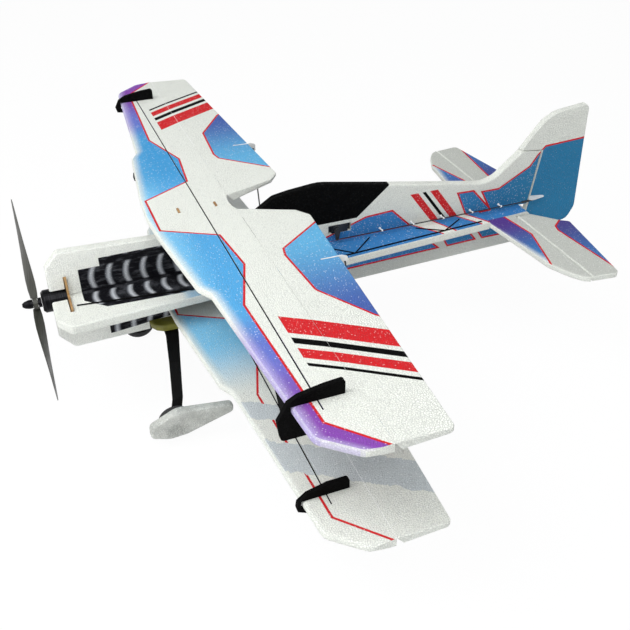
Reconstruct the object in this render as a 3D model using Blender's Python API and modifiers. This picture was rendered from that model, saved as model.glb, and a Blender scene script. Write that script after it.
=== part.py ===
"""Foam plate biplane model: crossed fuselage plates, two linked wings, tail, gear and electric power."""
import math

import bmesh
import bpy
from mathutils import Vector

# Sizes in metres: stations run aft from the upper leading edge, heights up from the upper wing's mid-plane
GAP = 0.0003
TOUCH = 0.0001
MERGE = 0.000005
RIM_MARGIN = 0.002
HINGE_BEVEL = math.radians(38)

# Wings
HALF_SPAN = 0.460
WING_THICK = 0.010
WING_DROP = 0.122
STAGGER = 0.009
HINGE_STATION = 0.1075
TIP_STATION = 0.081
TIP_INSET = 0.030
TIP_ROUND = 0.012
TIP_EDGE = (HALF_SPAN - TIP_INSET, 0.047, 0.015)
UPPER_EDGE = [(0.048, 0.0025), (0.172, 0.017, 0.012), (0.190, 0.027, 0.010), TIP_EDGE]
LOWER_EDGE = [(0.048, 0.0025), (0.190, 0.0185, 0.012), (0.208, 0.0285, 0.010), TIP_EDGE]
CUT_OUT_DEPTH = 0.004
CUT_OUT_SIDE_DEPTH = 0.0028
CUT_OUT_HALF = 0.012
NOSE_RADIUS = 0.004
NOSE_STOP = 0.012
SPAR_STATION = 0.068
SPAR_INSET = 0.060
SPAR_HALF = HALF_SPAN - SPAR_INSET
SPAR_WIDE = 0.001
SPAR_DEEP = 0.003

# Ailerons, measured aft of their hinge
AILERON_ROOT = [(0.020, 0.0), (0.045, 0.0675), (0.062, 0.0805, 0.006)]
AILERON_TIP_CHORD = 0.0575
AILERON_REAR_THICK = 0.004
AILERON_ROUND = 0.006
LOWER_ROOT_SHIFT = 0.005
SURFACE_SOFT = 0.0012
SOFT_START = 0.002

# Fuselage plates
PLATE_THICK = 0.012
PLATE_SOFT = 0.0022
THRUST_HEIGHT = -0.084
NOSE_STATION = -0.127
NOTCH_STATION = -0.1078
DECK_END = 0.466
DECK_NOSE_HALF = 0.053
DECK_WIDE_HALF = 0.076
DECK_WIDE_STATION = -0.112
DECK_NOSE_ROUND = 0.004
DECK_WIDE_ROUND = 0.006
DECK_END_HALF = 0.038
UPPER_NOSE = [(NOSE_STATION, -0.037, 0.004), (-0.111, -0.0185, 0.006), (0.005, -0.0228)]
CANOPY = [
    (0.126, -0.0225), (0.144, -0.010), (0.161, 0.001, 0.012), (0.183, 0.0047),
    (0.224, 0.0087, 0.06), (0.317, -0.008, 0.08),
]
FIN_ROOT = [(0.468, -0.034, 0.03), (0.488, -0.028, 0.02)]
LOWER_NOSE = [(NOSE_STATION, -0.136, 0.004), (-0.110, -0.1565, 0.006)]
KEEL_END = -0.141
MOTOR_CLEAR = 0.0015

# Tail
TAIL_THICK = 0.008
ELEVATOR_HINGE = 0.512
TAIL_EDGE = [(0.158, 0.480, 0.02), (0.186, 0.492, 0.02), (0.202, 0.503, 0.008)]
TAIL_TIP = 0.205
TAIL_CORE_HALF = 0.033
TAIL_CORE_END = 0.533
JOINER_BAY = 0.009
JOINER_SET = 0.006
JOINER_REACH = 0.020
JOINER_RADIUS = 0.00125
ELEVATOR_REAR = [(0.066, 0.563), (0.073, 0.573, 0.004), (0.209, 0.551, 0.006)]
RUDDER_THICK = 0.010
RUDDER_FOOT = 0.5457
RUDDER_RAKE = 0.135
RUDDER_TOP_HEIGHT = 0.0
RUDDER_BOTTOM = -0.135
RUDDER_BALANCE = 0.526
RUDDER_REAR = [
    (0.624, -0.120, 0.012), (0.634, -0.101, 0.014), (0.629, 0.0046),
    (0.6275, 0.053, 0.005), (0.622, 0.0584), (0.575, 0.053, 0.02), (0.556, 0.0416, 0.03),
]
SEAM = 0.0008

# Ply fittings
PLY = 0.0025
MOUNT_HALF_WIDE = 0.044
MOUNT_HALF_TALL = 0.032
MOUNT_ARM_X = 0.010
MOUNT_ARM_Z = 0.009
SLOT_LEAD = 0.001
CABANE_STATIONS = (0.040, 0.0865)
CABANE_TONGUE_HALF = 0.0055
CABANE_TONGUE_TOP = 0.0062
CABANE_HALF = 0.018
CABANE_FOOT_HALF = 0.013
CABANE_FOOT = -0.050
CABANE_SEAT = -0.036
BRACE_STATION = 0.030
BRACE_THICK = 0.002
BRACE_HALF = 0.0085
BRACE_TOP = -0.0965

# Strut clips: outlines as station and height from the middle of the wing they grip
CLIP_INSET = 0.075
CLIP_THICK = 0.005
CLIP_X = HALF_SPAN - CLIP_INSET
UPPER_CLIP_TOP = [(0.094, 0.021, 0.003), (0.075, 0.0195), (0.050, 0.015), (0.040, 0.0095), (0.034, -0.002)]
LEFT_CLIP_LOW = [(0.030, -0.009), (0.033, -0.032, 0.004), (0.095, -0.032)]
RIGHT_CLIP_LOW = [(0.036, -0.009), (0.062, -0.013), (0.098, -0.013)]
LOWER_CLIP_TOP = [(0.101, 0.018, 0.003), (0.079, 0.018), (0.057, 0.0125), (0.0475, 0.0045), (0.0465, -0.003)]
LOWER_CLIP_LOW = [(0.0475, -0.0075), (0.060, -0.014), (0.098, -0.014)]
UPPER_CLIP_SLOT = 0.0426
LOWER_CLIP_SLOT = 0.0510
GUSSET_STATION = 0.045
GUSSET_THICK = 0.003
GUSSET_REACH = 0.046
GUSSET_FOOT = 0.026

# Deck lattice
LATTICE_INSET = 0.005
LATTICE_NOSE = (0.0345, -0.100)
LATTICE_START = 0.090
LATTICE_STOP = 0.455
LATTICE_WIDE = 0.0015
LATTICE_THICK = 0.0012
BRACING_THICK = 0.0008
LATTICE_APEXES = (0.257, 0.395)
LATTICE_REACH = 0.034
LATTICE_INNER = 0.016

# Landing gear
WHEEL_RADIUS = 0.0225
WHEEL_WIDE = 0.012
WHEEL_X = 0.112
WHEEL_STATION = -0.014
WHEEL_HEIGHT = -0.2245
WHEEL_BORE = 0.0017
WHEEL_HUB = 0.0055
WHEEL_RIM = 0.0125
WHEEL_DISH = 0.0025
TYRE_STEP = 0.0012
TYRE_INSET = 0.0005
TYRE_SHOULDER = 0.0035
AXLE_RADIUS = 0.0015
AXLE_END = 0.127
LEG_THICK = 0.0022
LEG_PATH = [
    (0.0175, -0.1524, 0.010, 0.018), (0.020, -0.1524, 0.010, 0.018), (0.0265, -0.1545, 0.0097, 0.017),
    (0.060, -0.1742, 0.0028, 0.0145), (0.094, -0.2045, -0.005, 0.0135), (0.1025, -0.215, -0.0095, 0.0135),
    (0.103, -0.2335, WHEEL_STATION, 0.013),
]
AXLE_ROOT = 0.001
SADDLE_HALF = 0.024
SADDLE_FRONT = -0.014
SADDLE_REAR = 0.044
SADDLE_TOP = -0.141
SADDLE_THICK = 0.010
SADDLE_CORNER = 0.020
PANT_INNER = 0.1195
PANT_THICK = 0.012
PANT_SOFT = 0.0036
PANT_OUTLINE = [
    (-0.049, -0.2285, 0.007), (-0.0485, -0.211, 0.008), (-0.013, -0.1945, 0.02), (0.058, -0.2045, 0.006),
    (0.0565, -0.2165, 0.006), (-0.004, -0.235, 0.02), (-0.026, -0.2365, 0.02),
]

# Power
CAN_RADIUS = 0.014
CAN_LONG = 0.024
CAN_WALL = 0.0018
CAN_FACE = 0.003
CAN_CHAMFER = 0.0028
SHAFT_RADIUS = 0.0015
STATOR_RADIUS = 0.0116
BASE_RADIUS = 0.0135
BASE_LONG = 0.0057
COLLAR_RADIUS = 0.006
COLLAR_LONG = 0.0042
STUD_RADIUS = 0.0029
STUD_LONG = 0.0145
STUD_CHAMFER = 0.0005
PROP_RADIUS = 0.127
PROP_PITCH = 0.119
PROP_PITCH_ROOT = 0.018
PROP_TURN = math.radians(-20)
HUB_RADIUS = 0.0075
HUB_LONG = 0.0055
BORE_CLEAR = 0.0002
NUT_RADIUS = 0.0055
NUT_LONG = 0.0125
NUT_TIP_RADIUS = 0.0022
NUT_NECK_RADIUS = 0.0042
NUT_NOSE = 0.003
NUT_BASE = 0.0045
BLADE_CHORDS = [
    (0.05, 0.011), (0.12, 0.014), (0.22, 0.019), (0.34, 0.023), (0.48, 0.0235),
    (0.62, 0.021), (0.76, 0.0175), (0.89, 0.013), (0.97, 0.0085), (1.0, 0.004),
]
BLADE_ROOT_THICK = 0.0048
BLADE_TIP_THICK = 0.0009

# Servos and linkages
SERVO_LONG = 0.023
SERVO_WIDE = 0.0115
SERVO_TALL = 0.021
SERVO_SHAFT = 0.006
SERVO_EAR = 0.0045
SERVO_EAR_THICK = 0.0025
SERVO_EAR_DROP = 0.0065
SERVO_BOSS_RADIUS = 0.0055
SERVO_BOSS = 0.0032
ARM_HUB_RADIUS = 0.0039
ARM_TALL = 0.0026
ARM_SCREW_RADIUS = 0.0018
ARM_SCREW = 0.0008
ARM_THICK = 0.0016
ARM_ROOT_HALF = 0.0043
ARM_TIP_HALF = 0.0021
ROD_RADIUS = 0.00075
ROD_PAST = 0.003
ROD_STRAIGHT = 0.012
CLEVIS_LONG = 0.012
CLEVIS_HALF_WIDE = 0.0014
CLEVIS_HALF_TALL = 0.0011
HORN_THICK = 0.0016
HORN_EYE = 0.003
HORN_ROUND = 0.002
HORN_FOOT = 0.014
RUDDER_SERVO_STATION = 0.246
RUDDER_SERVO_HEIGHT = -0.060
RUDDER_ARM = 0.012
RUDDER_LEVER = 0.014
RUDDER_HORN_SET = 0.005
RUDDER_HORN_END = 0.026
RUDDER_HORN_CLEAR = 0.0015
ELEVATOR_SERVO_STATION = 0.3215
ELEVATOR_SERVO_FACE = -0.034
ELEVATOR_ARM = 0.014
ELEVATOR_LEVER = 0.018
ELEVATOR_HORN_SET = 0.008
ELEVATOR_HORN_ROOT = 0.002
AILERON_SERVO_STATION = 0.0705
AILERON_ARM = 0.014
AILERON_LEVER = 0.018
DRIVE_HORN_X = 0.040
DRIVE_HORN_SET = 0.012
DRIVE_HORN_ROOT = 0.0035
DRIVE_NECK_SET = 0.0085
DRIVE_NECK_DROP = 0.0125
LINK_HORN_X = 0.166
LINK_HORN_FRONT = 0.160
LINK_PIN = (0.189, -0.0065)
LINK_RADIUS = 0.001
LINK_HORN_HALF = 0.0028
LINK_NECK = 0.007
LINK_NECK_DROP = 0.004
LINK_EYE = 0.0035
LINK_STUB = 0.0012
PIN_CLEAR = 0.0003

# Electronics on the starboard side
BATTERY = (0.0207, 0.070, 0.034)
BATTERY_FRONT = -0.095
CONTROLLER = (0.008, 0.045, 0.024)
CONTROLLER_FRONT = -0.080
RECEIVER = (0.012, 0.042, 0.022)
RECEIVER_FRONT = 0.108
CASE_SOFT = 0.0015

WING_BOTTOM = -WING_THICK / 2
DECK_TOP = THRUST_HEIGHT + PLATE_THICK / 2
DECK_BOTTOM = THRUST_HEIGHT - PLATE_THICK / 2
TAIL_TOP = THRUST_HEIGHT + TAIL_THICK / 2
TAIL_BOTTOM = THRUST_HEIGHT - TAIL_THICK / 2
SIDE = PLATE_THICK / 2
MOUNT_FRONT = NOTCH_STATION + GAP
MOUNT_REAR = MOUNT_FRONT + PLY
BASE_REAR = MOUNT_FRONT - GAP
CAN_REAR = BASE_REAR - BASE_LONG - GAP
CAN_FRONT = CAN_REAR - CAN_LONG
COLLAR_FRONT = CAN_FRONT - GAP - COLLAR_LONG
HUB_FRONT = COLLAR_FRONT - GAP - HUB_LONG
NOSE_TIP = HUB_FRONT - GAP - NUT_LONG
TAIL_END = max(point[0] for point in RUDDER_REAR)

ROTATIONS = {"XY": (0.0, 0.0, 0.0), "YZ": (math.pi / 2, 0.0, math.pi / 2), "XZ": (math.pi / 2, 0.0, 0.0)}
AXES = {"XY": (0, 1), "YZ": (1, 2), "XZ": (0, 2)}
FOAM = (0.86, 0.87, 0.88, 1.0)
BLACK = (0.02, 0.02, 0.022, 1.0)
CARBON = (0.03, 0.03, 0.033, 1.0)
WOOD = (0.52, 0.33, 0.14, 1.0)
WHITE = (0.80, 0.80, 0.78, 1.0)
STEEL = (0.55, 0.55, 0.57, 1.0)
OLIVE = (0.16, 0.15, 0.02, 1.0)


def clear_scene():
    for item in list(bpy.data.objects):
        bpy.data.objects.remove(item)
    for group in list(bpy.data.collections):
        bpy.data.collections.remove(group)


def add_collection(name):
    group = bpy.data.collections.new(name)
    bpy.context.scene.collection.children.link(group)
    return group


def finish(item, colour, roughness=0.6, metallic=0.0):
    """Give a piece its own material and list it with the parts."""
    material = bpy.data.materials.new(item.name)
    material.use_nodes = True
    shader = material.node_tree.nodes["Principled BSDF"]
    shader.inputs["Base Color"].default_value = colour
    shader.inputs["Roughness"].default_value = roughness
    shader.inputs["Metallic"].default_value = metallic
    material.diffuse_color = colour
    item.data.materials.clear()
    item.data.materials.append(material)
    PARTS.objects.link(item)
    return item


def hide(item):
    """List a shaping tool away from the parts."""
    item.hide_render = True
    item.display_type = "WIRE"
    TOOLS.objects.link(item)
    return item


def rounded(points):
    """Outline in which each corner that carries a radius becomes an arc."""
    path = []
    for index, point in enumerate(points):
        corner = Vector(point[:2])
        if len(point) == 2:
            path.append(corner)
            continue
        before = (Vector(points[index - 1][:2]) - corner).normalized()
        after = (Vector(points[(index + 1) % len(points)][:2]) - corner).normalized()
        half = before.angle(after) / 2
        reach = point[2] / math.tan(half)
        centre = corner + (before + after).normalized() * (point[2] / math.sin(half))
        start = corner + before * reach - centre
        stop = corner + after * reach - centre
        steps = max(2, round((math.pi - 2 * half) / math.radians(22)))
        for step in range(steps + 1):
            spoke = start.lerp(stop, step / steps).normalized()
            path.append(centre + spoke * point[2])
    return path


def mirrored(half):
    """Closed outline from the points of its +X half."""
    other = [(-point[0],) + tuple(point[1:]) for point in reversed(half) if point[0] > 0]
    return list(half) + other


def new_object(name, mesh, at, rotation=(0.0, 0.0, 0.0)):
    item = bpy.data.objects.new(name, mesh)
    item.parent = DATUM
    item.location = at
    item.rotation_euler = rotation
    return item


def mesh_of(curve, name):
    """Closed mesh of a curve."""
    item = bpy.data.objects.new(name, curve)
    bpy.context.scene.collection.objects.link(item)
    graph = bpy.context.evaluated_depsgraph_get()
    mesh = bpy.data.meshes.new_from_object(item.evaluated_get(graph))
    bpy.data.objects.remove(item)
    bpy.data.curves.remove(curve)
    body = bmesh.new()
    body.from_mesh(mesh)
    bmesh.ops.remove_doubles(body, verts=body.verts, dist=MERGE)
    bmesh.ops.dissolve_limit(body, angle_limit=0.002, verts=body.verts, edges=body.edges)
    bmesh.ops.recalc_face_normals(body, faces=body.faces)
    body.to_mesh(mesh)
    body.free()
    mesh.name = name
    return mesh


def plate(name, outline, thick, plane, at, lift=0.0):
    """Flat piece cut from sheet: outline in the plane's axes, mid-sheet at lift from its origin."""
    first, second = AXES[plane]
    curve = bpy.data.curves.new(name, "CURVE")
    curve.dimensions = "2D"
    curve.fill_mode = "BOTH"
    curve.extrude = thick / 2
    path = rounded(outline)
    line = curve.splines.new("POLY")
    line.points.add(len(path) - 1)
    for spot, point in zip(line.points, path):
        spot.co = (point.x - at[first], point.y - at[second], 0.0, 1.0)
    line.use_cyclic_u = True
    mesh = mesh_of(curve, name)
    for vertex in mesh.vertices:
        vertex.co.z += lift
    return new_object(name, mesh, at, ROTATIONS[plane])


def soften(item, radius, weight_at, steps=2):
    """Round the rim of a sheet piece by the weight found at the middle of each rim edge."""
    mesh = item.data
    weights = mesh.attributes.new("bevel_weight_edge", "FLOAT", "EDGE")
    for edge in mesh.edges:
        start = mesh.vertices[edge.vertices[0]].co
        stop = mesh.vertices[edge.vertices[1]].co
        if abs(start.z - stop.z) < 0.5 * abs(start.z + stop.z) or (start - stop).xy.length > TOUCH:
            middle = (start + stop) / 2
            weights.data[edge.index].value = weight_at(middle.x, middle.y)
    bevel = item.modifiers.new("rim", "BEVEL")
    bevel.limit_method = "WEIGHT"
    bevel.width = radius
    bevel.segments = steps
    bevel.use_clamp_overlap = False
    return item


def cut_between(target, low, high):
    """Cut a square-sided pocket that runs between two corners."""
    size = [far - near for near, far in zip(low, high)]
    mesh = bpy.data.meshes.new(target.name + "_cutter")
    body = bmesh.new()
    bmesh.ops.create_cube(body, size=1.0)
    for vertex in body.verts:
        vertex.co = [spot * side for spot, side in zip(vertex.co, size)]
    body.to_mesh(mesh)
    body.free()
    middle = [(near + far) / 2 for near, far in zip(low, high)]
    combine(target, hide(new_object(mesh.name, mesh, middle)), "DIFFERENCE")


def combine(target, tool, operation):
    step = target.modifiers.new(tool.name, "BOOLEAN")
    step.operation = operation
    step.solver = "EXACT"
    step.object = tool


def solid_box(name, low, high, soft=0.0):
    """Block between two corners, its edges rounded."""
    mesh = bpy.data.meshes.new(name)
    body = bmesh.new()
    bmesh.ops.create_cube(body, size=1.0)
    for vertex in body.verts:
        vertex.co = [spot * (far - near) for spot, near, far in zip(vertex.co, low, high)]
    body.to_mesh(mesh)
    body.free()
    item = new_object(name, mesh, [(near + far) / 2 for near, far in zip(low, high)])
    if soft:
        bevel = item.modifiers.new("edges", "BEVEL")
        bevel.width = soft
        bevel.segments = 2
    return item


def cylinder(name, radius, long, at, rotation, segments=16):
    """Round bar along its own Z axis, centred on its origin."""
    mesh = bpy.data.meshes.new(name)
    body = bmesh.new()
    bmesh.ops.create_cone(
        body, cap_ends=True, segments=segments, radius1=radius, radius2=radius, depth=long
    )
    body.to_mesh(mesh)
    body.free()
    return new_object(name, mesh, at, rotation)


def bore(target, radius, start, stop, axis):
    """Drill a round hole along X, Y or Z between two places."""
    rotation = {"X": (0.0, math.pi / 2, 0.0), "Y": (math.pi / 2, 0.0, 0.0), "Z": (0.0, 0.0, 0.0)}[axis]
    middle = (Vector(start) + Vector(stop)) / 2
    long = (Vector(stop) - Vector(start)).length
    tool = cylinder(target.name + "_drill", radius, long, middle, rotation)
    combine(target, hide(tool), "DIFFERENCE")


def turned(name, profile, at, rotation, closed, steps=32):
    """Turned piece: profile as radius and height, running down its outer side."""
    mesh = bpy.data.meshes.new(name)
    count = len(profile)
    edges = [(index, index + 1) for index in range(count - 1)]
    if closed:
        edges.append((count - 1, 0))
    mesh.from_pydata([(radius, 0.0, height) for radius, height in profile], edges, [])
    item = new_object(name, mesh, at, rotation)
    screw = item.modifiers.new("turn", "SCREW")
    screw.steps = steps
    screw.render_steps = steps
    screw.use_merge_vertices = True
    screw.merge_threshold = MERGE
    screw.use_normal_calculate = False
    screw.use_smooth_shade = False
    return item


def rod(name, points, radius, at):
    """Round wire bent through a row of places."""
    curve = bpy.data.curves.new(name, "CURVE")
    curve.dimensions = "3D"
    curve.bevel_depth = radius
    curve.bevel_resolution = 2
    curve.use_fill_caps = True
    line = curve.splines.new("POLY")
    line.points.add(len(points) - 1)
    for spot, point in zip(line.points, points):
        spot.co = (point[0] - at[0], point[1] - at[1], point[2] - at[2], 1.0)
    return new_object(name, mesh_of(curve, name), at)


def loft(name, rings, at, rotation=(0.0, 0.0, 0.0)):
    """Skin over a row of equal rings, closed at both ends."""
    mesh = bpy.data.meshes.new(name)
    body = bmesh.new()
    rows = [[body.verts.new(point) for point in ring] for ring in rings]
    for row, following in zip(rows, rows[1:]):
        for index in range(len(row)):
            body.faces.new((row[index - 1], row[index], following[index], following[index - 1]))
    body.faces.new(rows[0])
    body.faces.new(rows[-1])
    bmesh.ops.recalc_face_normals(body, faces=body.faces)
    body.to_mesh(mesh)
    body.free()
    return new_object(name, mesh, at, rotation)


def smooth(item, angle=40):
    item.data.shade_smooth()
    item.data.set_sharp_from_angle(angle=math.radians(angle))
    return item


def hinge_at(height):
    """Station of the rudder hinge line at a height."""
    return RUDDER_FOOT + RUDDER_RAKE * (height - THRUST_HEIGHT)


def deck_half(station):
    """Half width of the deck at a station aft of its widest place."""
    share = (station - DECK_WIDE_STATION) / (DECK_END - DECK_WIDE_STATION)
    return DECK_WIDE_HALF + (DECK_END_HALF - DECK_WIDE_HALF) * share


def build_wing(name, edge, middle, aft, cut_out):
    """Front panel of a wing with its rounded nose and the groove of its spar."""
    rear = HINGE_STATION + aft - GAP / 2
    half = [(0.0, aft)]
    half += [(point[0], point[1] + aft) + tuple(point[2:]) for point in edge]
    half += [(HALF_SPAN, TIP_STATION + aft, TIP_ROUND), (HALF_SPAN, rear)]
    if cut_out:
        half += [(AILERON_ROOT[0][0], rear), (CUT_OUT_HALF, rear - CUT_OUT_SIDE_DEPTH)]
        half += [(0.0, rear - CUT_OUT_DEPTH)]
    wing = plate(name, mirrored(half), WING_THICK, "XY", (0.0, 0.0, middle))
    limit = rear - NOSE_STOP
    soften(wing, NOSE_RADIUS, lambda x, y: 1.0 if y < limit else 0.0, 3)
    top = middle + WING_THICK / 2
    station = SPAR_STATION + aft
    cut_between(
        wing,
        (-SPAR_HALF - GAP, station - SPAR_WIDE / 2 - GAP, top - SPAR_DEEP - GAP),
        (SPAR_HALF + GAP, station + SPAR_WIDE / 2 + GAP, top + WING_THICK),
    )
    finish(wing, FOAM, 0.7)
    spar = solid_box(
        name.replace("wing", "spar"),
        (-SPAR_HALF, station - SPAR_WIDE / 2, top - SPAR_DEEP),
        (SPAR_HALF, station + SPAR_WIDE / 2, top),
    )
    finish(spar, CARBON, 0.35)
    return wing


def build_aileron(name, side, middle, aft, root_shift):
    """Aileron that tapers to its rear edge and folds about the top edge of its bevelled front."""
    front = HINGE_STATION + aft
    start = front + GAP / 2
    outline = [(side * (AILERON_ROOT[0][0] + root_shift), start)]
    for point in AILERON_ROOT[1:]:
        outline.append((side * (point[0] + root_shift), front + point[1]) + tuple(point[2:]))
    outline += [(side * HALF_SPAN, front + AILERON_TIP_CHORD, AILERON_ROUND), (side * HALF_SPAN, start)]
    top = middle + WING_THICK / 2
    item = plate(name, outline, WING_THICK, "XY", (0.0, front, top), -WING_THICK / 2)
    setback = WING_THICK * math.tan(HINGE_BEVEL)
    chord = AILERON_ROOT[2][1]
    for vertex in item.data.vertices:
        lean = (WING_THICK - AILERON_REAR_THICK) / 2 * vertex.co.y / chord
        if vertex.co.z < -WING_THICK / 2:
            if vertex.co.y < GAP:
                vertex.co.y += setback
            else:
                vertex.co.z += lean
        elif vertex.co.y > GAP:
            vertex.co.z -= lean
    soften(item, SURFACE_SOFT, lambda x, y: 1.0 if y > setback + SOFT_START else 0.0, 2)
    finish(item, FOAM, 0.7)
    slot = LINK_HORN_X * side
    half = HORN_THICK / 2 + GAP
    cut_between(
        item,
        (slot - half, LINK_HORN_FRONT + aft - GAP, middle - WING_THICK),
        (slot + half, front + 2 * chord, middle + WING_THICK),
    )
    return item


def build_link_horn(name, side, middle, aft):
    """Thin horn let into the rear edge of an aileron."""
    pin = (LINK_PIN[0] + aft, LINK_PIN[1] + middle)
    front = LINK_HORN_FRONT + aft
    outline = [
        (front, middle + LINK_HORN_HALF), (front, middle - LINK_HORN_HALF),
        (pin[0] - LINK_NECK, middle - LINK_NECK_DROP), (pin[0] - LINK_EYE, pin[1] - LINK_EYE, HORN_ROUND),
        (pin[0] + LINK_EYE, pin[1] - LINK_EYE, HORN_ROUND), (pin[0] + LINK_EYE, middle, HORN_ROUND),
        (pin[0] - LINK_EYE, middle + LINK_HORN_HALF),
    ]
    horn = plate(name, outline, HORN_THICK, "YZ", (side * LINK_HORN_X, front, middle))
    reach = side * LINK_HORN_X
    start = (reach - HORN_THICK, *pin)
    bore(horn, LINK_RADIUS + PIN_CLEAR, start, (reach + HORN_THICK, *pin), "X")
    return finish(horn, WHITE, 0.45)


def build_link_rod(name, side):
    """Wire that carries the upper aileron's motion to the lower one, its ends turned into the horns."""
    inner = side * (LINK_HORN_X - HORN_THICK / 2 - LINK_STUB)
    outer = side * (LINK_HORN_X + HORN_THICK / 2 + GAP + LINK_RADIUS)
    station, height = LINK_PIN
    points = [
        (inner, station, height), (outer, station, height),
        (outer, station + STAGGER, height - WING_DROP), (inner, station + STAGGER, height - WING_DROP),
    ]
    item = rod(name, points, LINK_RADIUS, (outer, station, height))
    return finish(smooth(item), BLACK, 0.4)


def build_clip(name, side, middle, top, low, slot, gusset):
    """Clip that grips a wing's nose, open to the rear, with a cross gusset where one is fitted."""
    grip = WING_THICK / 2 + GAP
    outline = [(point[0], point[1] + middle) + tuple(point[2:]) for point in top + low]
    outline += [(low[-1][0], middle - grip), (slot, middle - grip), (slot, middle + grip)]
    outline += [(top[0][0], middle + grip)]
    place = (side * CLIP_X, slot, middle)
    clip = plate(name, outline, CLIP_THICK, "YZ", place)
    if gusset:
        foot = low[-1][1] + middle + GAP
        head = middle - grip - GAP
        web = [
            (side * CLIP_X, head), (side * (CLIP_X - GUSSET_REACH), head),
            (side * (CLIP_X - GUSSET_FOOT), foot), (side * CLIP_X, foot),
        ]
        web_at = (side * CLIP_X, GUSSET_STATION, middle)
        combine(clip, hide(plate(name + "_web", web, GUSSET_THICK, "XZ", web_at)), "UNION")
    return finish(clip, BLACK, 0.75)


def build_servo(name, at, rotation):
    """Servo with its ears and the boss of its shaft; its origin lies on the shaft at the top face."""
    rear = SERVO_LONG - SERVO_SHAFT
    half = SERVO_WIDE / 2
    mesh = bpy.data.meshes.new(name)
    body = bmesh.new()
    bmesh.ops.create_cube(body, size=1.0)
    for vertex in body.verts:
        vertex.co.x = vertex.co.x * SERVO_LONG + (rear - SERVO_SHAFT) / 2
        vertex.co.y *= SERVO_WIDE
        vertex.co.z = vertex.co.z * SERVO_TALL - SERVO_TALL / 2
    body.to_mesh(mesh)
    body.free()
    item = new_object(name, mesh, at, rotation)
    ears = solid_box(
        name + "_ears",
        (-SERVO_SHAFT - SERVO_EAR, -half + GAP, -SERVO_EAR_DROP),
        (rear + SERVO_EAR, half - GAP, -SERVO_EAR_DROP + SERVO_EAR_THICK),
    )
    boss = cylinder(name + "_boss", SERVO_BOSS_RADIUS, 2 * SERVO_BOSS, (0.0, 0.0, 0.0), (0.0, 0.0, 0.0), 20)
    for tool in (ears, boss):
        tool.parent = item
        combine(item, hide(tool), "UNION")
    return finish(item, (0.03, 0.05, 0.12, 1.0), 0.35)


def build_arm(name, reaches, at, rotation):
    """Servo arm with its hub and screw; its origin lies on the shaft, its hub on the servo's boss."""
    outline = []
    for reach in reaches:
        way = 1.0 if reach > 0 else -1.0
        nose = reach + way * ARM_TIP_HALF
        outline += [
            (0.0, -way * ARM_ROOT_HALF), (reach, -way * ARM_TIP_HALF), (nose, -way * ARM_TIP_HALF / 2),
            (nose, way * ARM_TIP_HALF / 2), (reach, way * ARM_TIP_HALF),
        ]
    if len(reaches) == 1:
        outline += [(0.0, ARM_ROOT_HALF), (-ARM_ROOT_HALF, ARM_ROOT_HALF / 2)]
        outline += [(-ARM_ROOT_HALF, -ARM_ROOT_HALF / 2)]
    base = SERVO_BOSS + GAP
    top = base + ARM_TALL
    item = plate(name, outline, ARM_THICK, "XY", (0.0, 0.0, 0.0), top - ARM_THICK / 2)
    item.location = at
    item.rotation_euler = rotation
    for label, radius, low, high in (
        ("_hub", ARM_HUB_RADIUS, base, top - ARM_THICK / 2),
        ("_screw", ARM_SCREW_RADIUS, top - ARM_THICK / 2, top + ARM_SCREW),
    ):
        middle = (0.0, 0.0, (low + high) / 2)
        piece = cylinder(name + label, radius, high - low, middle, (0.0, 0.0, 0.0), 20)
        piece.parent = item
        combine(item, hide(piece), "UNION")
    return finish(item, BLACK, 0.4)


clear_scene()
PARTS = add_collection("rc_biplane")
TOOLS = add_collection("shaping_tools")
DATUM = bpy.data.objects.new("datum", None)
DATUM.location = (0.0, -(NOSE_TIP + TAIL_END) / 2, WHEEL_RADIUS - WHEEL_HEIGHT)
PARTS.objects.link(DATUM)

# Wings and spars
upper_wing = build_wing("upper_wing", UPPER_EDGE, 0.0, 0.0, True)
lower_wing = build_wing("lower_wing", LOWER_EDGE, -WING_DROP, STAGGER, False)

# Ailerons with their horns and link rods
for label, side in (("left", 1.0), ("right", -1.0)):
    build_aileron("upper_aileron_" + label, side, 0.0, 0.0, 0.0)
    lower = build_aileron("lower_aileron_" + label, side, -WING_DROP, STAGGER, LOWER_ROOT_SHIFT)
    build_link_horn("upper_link_horn_" + label, side, 0.0, 0.0)
    build_link_horn("lower_link_horn_" + label, side, -WING_DROP, STAGGER)
    build_link_rod("link_rod_" + label, side)

    # Drive horn let into the lower aileron behind its bevel
    axis_y = HINGE_STATION + STAGGER
    axis_z = -WING_DROP + WING_THICK / 2
    pin_z = axis_z - AILERON_LEVER
    base_y = axis_y + DRIVE_HORN_SET
    root_z = axis_z - DRIVE_HORN_ROOT
    skin_z = axis_z - WING_THICK
    drive = [
        (base_y, root_z), (base_y, skin_z), (axis_y + DRIVE_NECK_SET, axis_z - DRIVE_NECK_DROP),
        (axis_y - HORN_EYE, pin_z + HORN_EYE, HORN_ROUND),
        (axis_y - HORN_EYE, pin_z - HORN_EYE, HORN_ROUND),
        (axis_y + HORN_EYE, pin_z - HORN_EYE, HORN_ROUND), (base_y + HORN_FOOT, skin_z),
        (base_y + HORN_FOOT, root_z),
    ]
    horn_x = side * DRIVE_HORN_X
    horn = plate("drive_horn_" + label, drive, HORN_THICK, "YZ", (horn_x, axis_y, axis_z))
    finish(horn, WHITE, 0.45)
    half = HORN_THICK / 2 + GAP
    cut_between(
        lower,
        (horn_x - half, base_y - GAP, axis_z - 2 * WING_THICK),
        (horn_x + half, base_y + HORN_FOOT + GAP, root_z + GAP),
    )

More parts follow.
